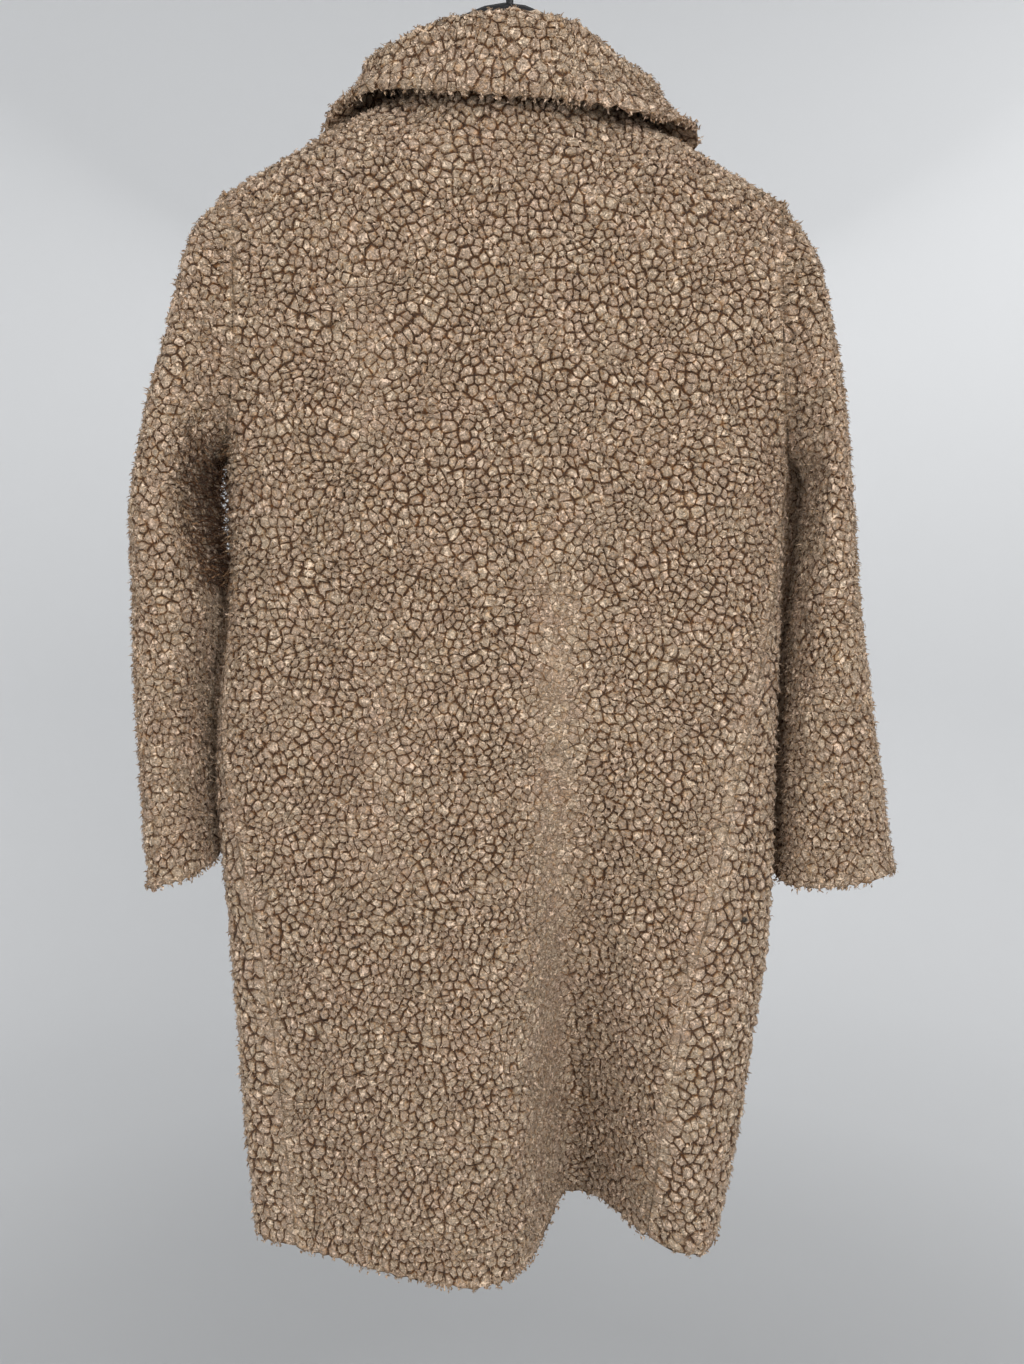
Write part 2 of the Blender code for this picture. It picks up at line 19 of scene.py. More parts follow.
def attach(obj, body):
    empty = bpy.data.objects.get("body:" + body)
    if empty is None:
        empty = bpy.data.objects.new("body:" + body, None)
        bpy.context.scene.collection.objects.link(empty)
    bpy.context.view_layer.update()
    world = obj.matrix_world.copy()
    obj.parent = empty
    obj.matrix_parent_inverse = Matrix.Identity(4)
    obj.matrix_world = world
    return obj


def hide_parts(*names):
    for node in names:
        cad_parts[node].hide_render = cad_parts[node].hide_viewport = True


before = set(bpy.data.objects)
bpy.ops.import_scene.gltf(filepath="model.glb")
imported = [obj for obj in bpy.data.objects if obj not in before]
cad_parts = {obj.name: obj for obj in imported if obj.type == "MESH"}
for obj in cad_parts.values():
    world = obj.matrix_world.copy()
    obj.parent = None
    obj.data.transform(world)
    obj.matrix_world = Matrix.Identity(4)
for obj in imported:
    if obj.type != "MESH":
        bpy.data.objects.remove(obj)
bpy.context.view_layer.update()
MM = 0.001

# %% [markdown]
# The camera stands about a metre behind the coat, at the height of its chest, and looks a
# little down. It comes first, because every size below was judged through it.

# %% Camera
CAMERA_PLACE = (2 * MM, -980 * MM, -566 * MM)
CAMERA_PITCH = 7            # degrees below level
LENS, FILM = 27.45, 36      # millimetres, along the picture's long side


def put_in_scene(name, data):
    made = bpy.data.objects.new(name, data)
    bpy.context.scene.collection.objects.link(made)
    return made


camera_data = bpy.data.cameras.new("camera")
camera_data.sensor_fit = "AUTO"
camera_data.sensor_width = FILM
camera_data.lens = LENS
camera = put_in_scene("camera", camera_data)
camera.location = CAMERA_PLACE
camera.rotation_euler = (math.radians(90 - CAMERA_PITCH), 0, 0)
bpy.context.scene.camera = camera
print("camera looks", CAMERA_PITCH, "degrees down")

# %% [markdown]
# ## The coat's form
# A garment's form can be simulated, sculpted or worked out. A hung coat barely moves, so it is
# worked out: sections give the body's width and depth at each height, and folds are soft
# troughs and ridges pressed into it. The same sizes made the frame's solids, so the cloth lies
# exactly where they do.

# %% Sizes of the body
WALL = 8.0 * MM             # knitted backing and its pile together
HEM_Z = -1234 * MM          # hem below the hook's bearing point
FRONT_HEM_DROP = 18 * MM    # the fronts hang this much longer than the back
ROUNDNESS = 2.6             # superellipse power of the body's section
PIT_SHARE = 0.23            # share of the side's length taken by the armhole
TIPS = {"left": (-255 * MM, -245 * MM), "right": (248 * MM, -256 * MM)}   # shoulders' ends, x, z
SHOULDER_ROUND = 100 * MM   # drop in which the shoulder reaches its full depth
NECK_CURVE = 1.2            # power of that rounding below the neck, nearly a slope
TIP_CURVE = 2.0             # and towards the shoulder's ends, a quarter circle
CURVE_FROM, CURVE_TO = 0.7, 1.7      # it changes between these shares of the neck's width
NECK_HALF_WIDTH = 85 * MM
NECK_SIDE_Z = -160 * MM
NECK_TILT = 5.5 * MM        # the neckline's left end is this much higher, its right end lower
NECK_BACK_Y = 50 * MM
NECK_FRONT_Y = 55 * MM
NECK_BACK_DROP = 10 * MM
NECK_FRONT_DROP = 60 * MM
OVERLAP = 50 * MM           # each front passes the centre by this
UNDERLAP_RAMP = 40 * MM     # over this width the left front dips under the right
UNDERLAP_GAP = 1.2 * MM     # clear space between the two layers

Section = namedtuple("Section", "z left right back front")      # millimetres
SECTIONS = [Section(*row) for row in (
    (-1234, -256, 209, 90, 84),
    (-1140, -263, 226, 88, 82),
    (-1040, -267, 238, 87, 80),
    (-940, -271, 250, 86, 79),
    (-840, -277, 253, 85, 78),
    (-760, -279, 253, 84, 77),
    (-680, -272, 253, 83, 76),
    (-600, -261, 253, 81, 75),
    (-540, -260, 254, 80, 73),
    (-475, -260, 255, 78, 71),
    (-430, -276, 267, 76, 69),
    (-350, -290, 281, 72, 65),
    (-245, -298, 289, 66, 60),
    (-150, -300, 291, 60, 55),
)]

EdgeRow = namedtuple("EdgeRow", "z left right")                 # millimetres
ARMHOLES = [EdgeRow(*row) for row in (
    (-481, -260, 255),
    (-472, -260, 252),
    (-464, -256, 249),
    (-440, -247, 244),
    (-390, -240, 238),
    (-300, -238, 236),
    (-245, -255, 248),
)]
SIDE_SEAMS = [EdgeRow(*row) for row in (
    (-1234, -208, 134),
    (-1100, -216, 145),
    (-975, -226, 165),
    (-855, -246, 192),
    (-735, -266, 215),
    (-600, -260, 240),
    (-475, -260, 255),
)]

# A fold's depth is into the coat, and negative stands out. It fades out again at its low
# end, or grows all the way to the hem.
FOLD_TOP_WIDTH = 0.6        # share of its full width that a fold has at its top
Fold = namedtuple("Fold", "face x_top z_top x_low z_low depth left right growth fades")
FOLDS = [Fold(*row) for row in (
    ("back", 44, -680, 68, -1234, 146, 38, 68, 1.35, False),
    ("back", -10, -300, -38, -1234, -12, 62, 46, 0.6, False),
    ("back", -172, -230, -178, -960, 13, 52, 60, 1.0, True),
    ("back", 118, -230, 128, -760, 12, 52, 48, 1.0, True),
    ("back", 92, -790, 168, -1010, 9, 20, 26, 1.0, True),
    ("back", -222, -900, -222, -1234, 30, 44, 96, 0.8, False),
    ("back", 150, -980, 184, -1234, -9, 24, 30, 1.0, False),
    ("front", -128, -420, -142, -1234, 30, 46, 40, 1.1, False),
    ("front", 118, -520, 134, -1234, 22, 38, 50, 1.0, False),
    ("front", 178, -330, 160, -900, 10, 40, 34, 1.0, True),
)]
print(len(SECTIONS), "sections and", len(FOLDS), "folds")

# %% Small helpers for curves
TINY = 1e-12                # nothing is divided by less than this


def smooth_between(low, high, value):
    share = np.clip((np.asarray(value, float) - low) / (high - low), 0, 1)
    return share * share * (3 - 2 * share)


def follow(known, values, at):
    """A smooth curve through a short table, with no overshoot between its rows."""
    order = np.argsort(known)
    known = np.asarray(known, float)[order]
    values = np.asarray(values, float)[order]
    step = np.diff(known)
    rise = np.diff(values) / step
    slope = np.empty(len(known))
    slope[0], slope[-1] = rise[0], rise[-1]
    same_way = rise[:-1] * rise[1:] > 0
    with np.errstate(divide="ignore", invalid="ignore"):
        mean = 2 * rise[:-1] * rise[1:] / (rise[:-1] + rise[1:])
    slope[1:-1] = np.where(same_way, mean, 0)
    at = np.clip(np.asarray(at, float), known[0], known[-1])
    i = np.clip(np.searchsorted(known, at) - 1, 0, len(step) - 1)
    h, t = step[i], (at - known[i]) / step[i]
    return ((1 + 2 * t) * (1 - t) ** 2 * values[i] + t * (1 - t) ** 2 * h * slope[i]
            + t * t * (3 - 2 * t) * values[i + 1] + t * t * (t - 1) * h * slope[i + 1])


def column(table, name, at, key="z"):
    """One column of a millimetre table, in metres, at heights given in metres."""
    known = [getattr(row, key) for row in table]
    scale = MM if key == "z" else 1
    return follow(np.array(known) * scale, [getattr(row, name) * MM for row in table], at)


def arc_shares(points):
    steps = np.linalg.norm(np.diff(points, axis=0), axis=1)
    run = np.concatenate([[0], np.cumsum(steps)])
    return run / run[-1]


def at_shares(points, shares):
    run = arc_shares(points)
    return np.stack([np.interp(shares, run, points[:, k]) for k in range(3)], axis=1)


def unit(vectors):
    return vectors / np.maximum(np.linalg.norm(vectors, axis=-1, keepdims=True), TINY)


# %% The body's skin
def shoulder_z(x):
    x = np.asarray(x, float)
    tip_x, tip_z = (np.where(x < 0, TIPS["left"][k], TIPS["right"][k]) for k in (0, 1))
    share = (np.abs(x) - NECK_HALF_WIDTH) / (np.abs(tip_x) - NECK_HALF_WIDTH)
    neck_z = NECK_SIDE_Z - NECK_TILT * np.clip(x / NECK_HALF_WIDTH, -1, 1)
    return neck_z + np.maximum(share, 0) * (tip_z - neck_z)


def fold_shift(face, x, z):
    """How far the folds push one face of the body inwards."""
    shift = np.zeros(np.broadcast(x, z).shape)
    for fold in FOLDS:
        if fold.face != face:
            continue
        run = np.clip((fold.z_top * MM - z) / ((fold.z_top - fold.z_low) * MM), 0, 1)
        line = (fold.x_top + (fold.x_low - fold.x_top) * run) * MM
        width = np.where(x < line, fold.left, fold.right) * MM
        width = width * (FOLD_TOP_WIDTH + (1 - FOLD_TOP_WIDTH) * run)
        if fold.fades:
            strength = np.sin(math.pi * run) ** 2
        else:
            strength = run ** fold.growth
        shift += fold.depth * MM * strength * np.exp(-((x - line) / width) ** 2)
    return shift


def side_z(side, share):
    """The height of a share of the way down one side of the body."""
    return TIPS[side][1] * (1 - share) + HEM_Z * share


def middle_and_half(share):
    """The middle of the body's width, and half of that width."""
    left, right = (column(SECTIONS, side, side_z(side, share)) for side in ("left", "right"))
    return (left + right) / 2, (right - left) / 2


def squared_off(wave, roundness):
    """A sine or cosine, changed so that a turn of it draws an oblong with round corners."""
    return np.sign(wave) * np.abs(wave) ** (2 / roundness)


def skin(theta, share):
    """Outer face of the body. theta goes round it: 0 right side, pi/2 centre back,
    pi left side, 3pi/2 centre front. share runs from the top edge, 0, to the hem, 1."""
    theta = np.asarray(theta, float)
    middle, half = middle_and_half(share)
    x = middle + half * squared_off(np.cos(theta), ROUNDNESS)
    depth = np.abs(squared_off(np.sin(theta), ROUNDNESS))
    behind = np.sin(theta) >= 0
    neck = np.sqrt(np.maximum(0, 1 - (x / NECK_HALF_WIDTH) ** 2))
    neck_y = neck * np.where(behind, NECK_BACK_Y, NECK_FRONT_Y)
    top = shoulder_z(x) - neck ** 2 * np.where(behind, NECK_BACK_DROP, NECK_FRONT_DROP)
    hem = HEM_Z - np.where(behind, 0, FRONT_HEM_DROP * depth)
    z = top * (1 - share) + hem * share
    reach = np.where(behind, column(SECTIONS, "back", z), column(SECTIONS, "front", z)) * depth
    fall = np.clip((top - z) / SHOULDER_ROUND, 0, 1)
    outwards = smooth_between(CURVE_FROM, CURVE_TO, np.abs(x) / NECK_HALF_WIDTH)
    power = NECK_CURVE + (TIP_CURVE - NECK_CURVE) * outwards
    rounded = (1 - (1 - fall) ** power) ** (1 / power)
    inwards = np.where(behind, fold_shift("back", x, z), fold_shift("front", x, z))
    y = neck_y + (reach - neck_y) * rounded - inwards * depth * rounded
    return np.stack([x, np.where(behind, -y, y), z], axis=-1)


def theta_at(x, share, behind=True):
    """The turn at which the skin passes a sideways place."""
    middle, half = middle_and_half(share)
    u = np.clip((x - middle) / half, -1, 1)
    theta = math.acos(np.sign(u) * np.abs(u) ** (ROUNDNESS / 2))
    return theta if behind else 2 * math.pi - theta


def edge_theta(share, side, behind):
    """Where a panel's side edge lies: the armhole above the armpit, the seam below."""
    z = side_z(side, share)
    if share >= PIT_SHARE:
        return theta_at(column(SIDE_SEAMS, side, z), share)
    return theta_at(column(ARMHOLES, side, z), share, behind)


print(f"the body is {2 * middle_and_half(PIT_SHARE)[1]:.3f} m wide at the armpits")

# %% Back and fronts, as grids of points down the cloth
ARMHOLE_ROWS, SIDE_ROWS = 16, 44
BACK_COLS, FRONT_COLS = 72, 48
DENSE = 400                 # steps along a row before it is spaced out evenly


def row_shares():
    upper = PIT_SHARE * (1 - np.cos(np.linspace(0, math.pi, ARMHOLE_ROWS + 1))) / 2
    return np.concatenate([upper, np.linspace(PIT_SHARE, 1, SIDE_ROWS + 1)[1:]])


def back_grid():
    even = np.linspace(0, 1, BACK_COLS + 1)
    rows = []
    for share in row_shares():
        ends = edge_theta(share, "left", True), edge_theta(share, "right", True)
        rows.append(at_shares(skin(np.linspace(*ends, DENSE), share), even))
    return np.array(rows)


def front_grid(side):
    """One front, from its armhole and side seam to its free edge past the centre."""
    sign = 1 if side == "left" else -1
    even = np.linspace(0, 1, FRONT_COLS + 1)
    rows = []
    for share in row_shares():
        start = edge_theta(share, side, False)
        end = theta_at(sign * OVERLAP, share, False)
        if side == "right" and start < math.pi:
            start += 2 * math.pi
        path = skin(np.linspace(start, end, DENSE), share)
        if side == "left":
            under = smooth_between(-OVERLAP - UNDERLAP_RAMP, -OVERLAP, path[:, 0])
            under = np.where(path[:, 1] > 0, under, 0)
            path[:, 1] -= under * (WALL + UNDERLAP_GAP)
        rows.append(at_shares(path, even))
    return np.array(rows)


back_points = back_grid()
front_points = {side: front_grid(side) for side in ("left", "right")}
print("back grid", back_points.shape[:2], "front grids", front_points["left"].shape[:2])

# %% [markdown]
# A sleeve is lofted through rings, from the armhole down to the cuff. Each ring is given by
# where its outer and inner ends lie in the coat's plane, and how deep it is. The loft is cut
# open along the seam under the arm, because that is how the sleeve is cut.

# %% Sleeves
Ring = namedtuple("Ring", "out_x out_z in_x in_z mid_y half_y")   # millimetres
LEFT_SLEEVE = [Ring(*row) for row in (
    (-273, -278, -269, -479, 0, 69),
    (-295, -352, -277, -486, 1, 74),
    (-322, -445, -283, -505, 3, 79),
    (-340, -535, -281, -538, 6, 82),
    (-344, -622, -272, -606, 10, 82),
    (-345, -714, -285, -702, 13, 79),
    (-345, -798, -287, -784, 14, 74),
    (-343, -874, -284, -858, 12, 68),
)]
RIGHT_SLEEVE = [Ring(*row) for row in (
    (262, -290, 262, -487, 0, 69),
    (276, -342, 268, -500, 1, 73),
    (290, -404, 269, -526, 3, 77),
    (303, -486, 266, -566, 6, 79),
    (317, -596, 261, -632, 10, 81),
    (336, -702, 259, -707, 13, 78),
    (354, -792, 259, -797, 13, 72),
    (368, -860, 259, -876, 11, 64),
)]
SLEEVE_ROUNDNESS = 3.0
SLEEVE_EVEN_RING = 4        # the ring from which its points are evenly spaced
SLEEVE_ROWS = 56


def armhole_loop(side):
    """The armhole from the shoulder's end down the back to the pit and up the front."""
    behind = back_points[:ARMHOLE_ROWS + 1, 0 if side == "left" else -1]
    before = front_points[side][1:ARMHOLE_ROWS, 0][::-1]
    return np.concatenate([behind, before])


def sleeve_grid(side, table):
    armhole = armhole_loop(side)
    start = arc_shares(np.concatenate([armhole, armhole[:1]]))[:-1]
    even = np.arange(len(armhole)) / len(armhole)
    phi = np.linspace(0, 2 * math.pi, DENSE)
    along = squared_off(np.cos(phi), SLEEVE_ROUNDNESS)[:, None]
    across = squared_off(np.sin(phi), SLEEVE_ROUNDNESS)
    rings = [armhole]
    for number, ring in enumerate(table, 1):
        drift = min(1, number / SLEEVE_EVEN_RING)
        outer = np.array([ring.out_x, 0, ring.out_z]) * MM
        inner = np.array([ring.in_x, 0, ring.in_z]) * MM
        path = (outer + inner) / 2 + along * (outer - inner) / 2
        path[:, 1] += (ring.mid_y - ring.half_y * across) * MM
        rings.append(at_shares(path, start * (1 - drift) + even * drift))
    rings = np.array(rings)
    steps = np.linalg.norm(np.diff(rings, axis=0), axis=2).mean(axis=1)
    run = np.concatenate([[0], np.cumsum(steps)])
    at = np.linspace(0, run[-1], SLEEVE_ROWS + 1)
    dense = np.stack([np.stack([follow(run, rings[:, j, k], at) for k in range(3)], axis=1)
                      for j in range(rings.shape[1])], axis=1)
    dense = np.roll(dense, -ARMHOLE_ROWS, axis=1)       # so that the seam is at the pit
    return np.concatenate([dense, dense[:, :1]], axis=1)


sleeve_points = {"left": sleeve_grid("left", LEFT_SLEEVE),
                 "right": sleeve_grid("right", RIGHT_SLEEVE)}
print("sleeve grids", sleeve_points["left"].shape[:2])

# %% [markdown]
# The collar is one strip round the neck: it stands up from the neckline, rolls over a fold
# and falls back onto the shoulders. Rows round the neck say where the fold and the outer edge
# lie, as the sideways and back-to-front reach of two ovals.

# %% Collar
CollarRow = namedtuple("CollarRow", "turn fold_x fold_y fold_z edge_x edge_y edge_z")
COLLAR = [CollarRow(*row) for row in (
    (-172, 108, 70, -190, 142, 110, -286),
    (-135, 112, 68, -168, 184, 106, -250),
    (-90, 120, 62, -146, 174, 86, -188),
    (-60, 124, 62, -145, 158, 84, -170),
    (-30, 112, 62, -132, 146, 86, -180),
    (0, 110, 60, -128, 150, 86, -188),
    (30, 108, 62, -135, 154, 88, -191),
    (60, 112, 64, -155, 168, 92, -195),
    (90, 124, 64, -158, 178, 94, -192),
    (135, 114, 68, -174, 182, 106, -252),
    (172, 108, 70, -190, 142, 110, -286),
)]
COLLAR_FOLD_RADIUS = 5 * MM
COLLAR_LIFT = 0.5 * MM      # above the neckline
COLLAR_BULGE = 10 * MM      # how far the fall rounds outwards between fold and edge
COLLAR_ROLL = 20 * MM       # how far the thick fur rolls its edge back under, behind the neck
SIDE_ROLL = 0.4             # share of that roll at the sides and the front
ROLL_TURNS = (45, 110)      # degrees round the neck between which it lessens
ROLL_FROM = 0.5             # share of the fall where the roll starts
COLLAR_COLS = 96
STAND_STEPS, FOLD_STEPS, FALL_STEPS = 5, 5, 14


def neck_point(turn):
    """The neckline at a turn about the neck: 0 centre back, 90 right, 180 front."""
    a = math.radians(turn)
    behind = math.cos(a) >= 0
    y = -math.cos(a) * (NECK_BACK_Y if behind else NECK_FRONT_Y)
    drop = math.cos(a) ** 2 * (NECK_BACK_DROP if behind else NECK_FRONT_DROP)
    z = NECK_SIDE_Z - NECK_TILT * math.sin(a) - drop + COLLAR_LIFT
    return np.array([NECK_HALF_WIDTH * math.sin(a), y, z])


def collar_path(turn):
    """Underside of the collar at one turn: up the stand, over the fold, down the fall."""
    a = math.radians(turn)
    round_neck = np.array([math.sin(a), -math.cos(a)])

    def place(name):
        return column(COLLAR, name, turn, key="turn")

    seam = neck_point(turn)
    fold, edge = (np.array([*(np.array([place(part + "_x"), place(part + "_y")]) * round_neck),
                            place(part + "_z")]) for part in ("fold", "edge"))
    out = unit(np.array([edge[0] - fold[0], edge[1] - fold[1], 0]))
    up = np.array([0, 0, 1.0])
    r = COLLAR_FOLD_RADIUS
    stand_top = fold - out * r
    stand = [seam + (stand_top - seam) * k / STAND_STEPS for k in range(STAND_STEPS)]
    angles = [math.pi * k / FOLD_STEPS for k in range(FOLD_STEPS + 1)]
    bow = [fold + r * (up * math.sin(t) - out * math.cos(t)) for t in angles]
    side = -unit(np.cross(np.cross(out, up), edge - bow[-1]))
    roll = COLLAR_ROLL * (1 - (1 - SIDE_ROLL) * smooth_between(*ROLL_TURNS, abs(turn)))
    fall = [bow[-1] + (edge - bow[-1]) * t + side * COLLAR_BULGE * math.sin(math.pi * t)
            - out * roll * max(0, (t - ROLL_FROM) / (1 - ROLL_FROM)) ** 2
            for t in (k / FALL_STEPS for k in range(1, FALL_STEPS + 1))]
    return np.array(stand + bow + fall)


turns = np.linspace(COLLAR[0].turn, COLLAR[-1].turn, COLLAR_COLS + 1)
collar_points = np.stack([collar_path(turn) for turn in turns], axis=1)
print("collar grid", collar_points.shape[:2])

# %% [markdown]
# ## The flat pattern
# Fur is cut flat, and its clumps are the same size all over the flat cloth. So each piece's
# grid is unwrapped into its paper pattern, the clumps are laid out there, and each place on
# the pattern is then looked up on the hung cloth. Laying the clumps out on the curved form
# itself would stretch them wherever the grid is stretched.

# %% Unwrap a piece's grid
SAME_PLACE = 0.02 * MM      # points of two pieces that are this close are on one seam
Cloth = namedtuple("Cloth", "points normals flat corners tree border grid area")


def grid_quads(rows, cols, turned):
    index = np.arange(rows * cols).reshape(rows, cols)
    quads = np.stack([index[:-1, :-1], index[1:, :-1], index[1:, 1:], index[:-1, 1:]], axis=-1)
    quads = quads.reshape(-1, 4)
    return quads[:, ::-1] if turned else quads


def edit_whole(thing, work):
    """Does some work in edit mode, on the whole of one object's mesh."""
    bpy.ops.object.select_all(action="DESELECT")
    thing.select_set(True)
    bpy.context.view_layer.objects.active = thing
    bpy.ops.object.mode_set(mode="EDIT")
    bpy.ops.mesh.select_all(action="SELECT")
    work()
    bpy.ops.object.mode_set(mode="OBJECT")


def unwrap(name, points, quads):
    """The flat place of each grid point, in the unwrap's own units."""
    mesh = bpy.data.meshes.new(name)
    mesh.from_pydata(points.reshape(-1, 3).tolist(), [], quads.tolist())
    mesh.uv_layers.new(name="pattern")
    paper = put_in_scene(name, mesh)
    edit_whole(paper, lambda: bpy.ops.uv.unwrap(method="MINIMUM_STRETCH", margin=0))
    loops = np.empty(len(mesh.loops), int)
    mesh.loops.foreach_get("vertex_index", loops)
    places = np.empty(len(mesh.loops) * 2)
    mesh.uv_layers[0].uv.foreach_get("vector", places)
    flat = np.zeros((len(mesh.vertices), 2))
    flat[loops] = places.reshape(-1, 2)
    bpy.data.objects.remove(paper)
    bpy.data.meshes.remove(mesh)
    return flat


def quad_area(points, quads):
    a, b, c, d = (points[quads[:, k]] for k in range(4))
    if points.shape[1] == 2:
        p, q = c - a, d - b
        return np.abs(p[:, 0] * q[:, 1] - p[:, 1] * q[:, 0]).sum() / 2
    return np.linalg.norm(np.cross(c - a, d - b), axis=1).sum() / 2


def face_normals(points, turned):
    """Which way the cloth's face looks at each grid point."""
    down, across = np.gradient(points, axis=0), np.gradient(points, axis=1)
    return unit(np.cross(down, across)) * (-1 if turned else 1)


def share_normals(grids):
    """The face's direction over every grid, the same on both sides of each seam."""
    normals = {name: face_normals(points, turned) for name, (points, turned) in grids.items()}
    keys = np.concatenate([np.round(points.reshape(-1, 3) / SAME_PLACE)
                           for points, _ in grids.values()])
    _, place = np.unique(keys, axis=0, return_inverse=True)
    place = place.ravel()
    every = np.concatenate([n.reshape(-1, 3) for n in normals.values()])
    total = np.stack([np.bincount(place, every[:, k]) for k in range(3)], axis=1)
    shared, start = unit(total)[place], 0
    for name, n in normals.items():
        size = n.shape[0] * n.shape[1]
        normals[name] = shared[start:start + size].reshape(n.shape)
        start += size
    return normals


def lay_out(name, points, turned, normals):
    """A piece of cloth: its form, its pattern and the means to go from one to the other."""
    rows, cols = points.shape[:2]
    quads = grid_quads(rows, cols, turned)
    flat = unwrap(name + "_pattern", points, quads)
    grid = flat.reshape(rows, cols, 2)
    way = grid[-1].mean(axis=0) - grid[0].mean(axis=0)
    turn = math.atan2(way[0], -way[1])
    size = math.sqrt(quad_area(points.reshape(-1, 3), quads) / quad_area(flat, quads))
    spin = np.array([[math.cos(turn), -math.sin(turn)], [math.sin(turn), math.cos(turn)]])
    flat = (flat - flat.mean(axis=0)) @ spin * size
    grid = flat.reshape(rows, cols, 2)
    corners = np.concatenate([quads[:, [0, 1, 2]], quads[:, [0, 2, 3]]])
    tree = BVHTree.FromPolygons([(*p, 0.0) for p in flat.tolist()], corners.tolist())
    border = np.concatenate([grid[0, :-1], grid[:-1, -1], grid[-1, :0:-1], grid[:0:-1, 0]])
    area = quad_area(flat, quads)
    return Cloth(points.reshape(-1, 3), normals.reshape(-1, 3), flat, corners, tree, border,
                 grid, area)


# %% Look places up on the hung cloth
def look_up(cloth, places):
    """Where flat places lie on the hung cloth, and which way its face looks there."""
    found = np.empty(len(places), int)
    down = Vector((0, 0, -1))
    for i, (u, v) in enumerate(places.tolist()):
        hit = cloth.tree.ray_cast(Vector((u, v, 1)), down)
        if hit[2] is None:
            hit = cloth.tree.find_nearest(Vector((u, v, 0)))
        found[i] = hit[2]
    a, b, c = (cloth.flat[cloth.corners[found, k]] for k in range(3))
    ab, ac, ap = b - a, c - a, places - a
    whole = ab[:, 0] * ac[:, 1] - ab[:, 1] * ac[:, 0]
    wb = (ap[:, 0] * ac[:, 1] - ap[:, 1] * ac[:, 0]) / whole
    wc = (ab[:, 0] * ap[:, 1] - ab[:, 1] * ap[:, 0]) / whole
    wb, wc = np.clip(wb, 0, 1), np.clip(wc, 0, 1)
    weights = np.stack([np.clip(1 - wb - wc, 0, 1), wb, wc], axis=1)
    weights /= weights.sum(axis=1, keepdims=True)
    corners = cloth.corners[found]
    points = (cloth.points[corners] * weights[..., None]).sum(axis=1)
    normals = unit((cloth.normals[corners] * weights[..., None]).sum(axis=1))
    return points, normals


# %% Every piece's pattern
COLLAR_CLUMPS = 4 * MM      # how far the collar's clumps and tufts stand above its face


def outer_face_of_collar(points):
    """The collar's grid is its underside. Its face is a wall further out, less its clumps."""
    return points + face_normals(points, False) * (WALL - COLLAR_CLUMPS)


# Each grid, and whether its face is on the other side of the way down and across it.
GRIDS = {
    "back": (back_points, False),
    "front_left": (front_points["left"], True),
    "front_right": (front_points["right"], False),
    "sleeve_left": (sleeve_points["left"], False),
    "sleeve_right": (sleeve_points["right"], True),
    "collar": (outer_face_of_collar(collar_points), False),
}
shared = share_normals(GRIDS)
cloths = {name: lay_out(name, *grid, shared[name]) for name, grid in GRIDS.items()}
for name, cloth in cloths.items():
    size = np.ptp(cloth.flat, axis=0)
    print(f"{name}: pattern {size[0]:.3f} x {size[1]:.3f} m, {cloth.area:.3f} m2")

# %% [markdown]
# ## The pile
# Teddy pile is thousands of short curly tufts that lock into clumps. Hair strands would need
# millions of faces, and a bump would leave the outline smooth. Here each clump is a small
# mound of its own: seeds are scattered over the pattern, the flat cloth is shared out to the
# nearest seed, and each share is raised in rings, with a narrow dark gap left round it.

# %% Scatter seeds
JITTER = 0.46               # how far a seed strays from its lattice, in spacings
DROPPED = 0.08              # share of seeds left out, which makes their neighbours bigger
EDGE_CLEAR = 0.28           # no seed is nearer to the border than this many spacings
MIRRORED = 1.6              # seeds within this many spacings are mirrored across it
rng = np.random.default_rng(7)


def inside(border, places):
    """Which places lie within the pattern's border."""
    x, y = places[:, :1], places[:, 1:]
    ax, ay = border[:, 0], border[:, 1]
    bx, by = np.roll(ax, -1), np.roll(ay, -1)
    spans = (ay > y) != (by > y)
    with np.errstate(divide="ignore", invalid="ignore"):
        crossing = ax + (y - ay) / (by - ay) * (bx - ax)
    return (spans & (x < crossing)).sum(axis=1) % 2 == 1


def nearest_on(line, places, closed=True):
    """The nearest point of a line of points, and how far off it is."""
    a, b = line, np.roll(line, -1, axis=0)
    if not closed:
        a, b = a[:-1], b[:-1]
    way = b - a
    length = np.maximum((way ** 2).sum(axis=1), TINY)
    share = ((places[:, None] - a) * way).sum(axis=2) / length
    found = a + np.clip(share, 0, 1)[..., None] * way
    gap = np.linalg.norm(found - places[:, None], axis=2)
    best = gap.argmin(axis=1)
    every = np.arange(len(places))
    return found[every, best], gap[every, best]


def scatter(border, spacing):
    """Seeds on a jittered lattice, mirrored across the border so that cells end at it."""
    low, high = border.min(axis=0) - spacing, border.max(axis=0) + spacing
    rise = spacing * math.sqrt(3) / 2
    u, v = np.meshgrid(np.arange(low[0], high[0], spacing), np.arange(low[1], high[1], rise))
    u[1::2] += spacing / 2
    seeds = np.stack([u.ravel(), v.ravel()], axis=1)
    angle = rng.uniform(0, 2 * math.pi, len(seeds))
    reach = spacing * JITTER * np.sqrt(rng.random(len(seeds)))
    seeds += np.stack([np.cos(angle), np.sin(angle)], axis=1) * reach[:, None]
    seeds = seeds[rng.random(len(seeds)) > DROPPED]
    seeds = seeds[inside(border, seeds)]
    edge, gap = nearest_on(border, seeds)
    kept = gap > EDGE_CLEAR * spacing
    seeds, edge, gap = seeds[kept], edge[kept], gap[kept]
    close = gap < MIRRORED * spacing
    return seeds, 2 * edge[close] - seeds[close]


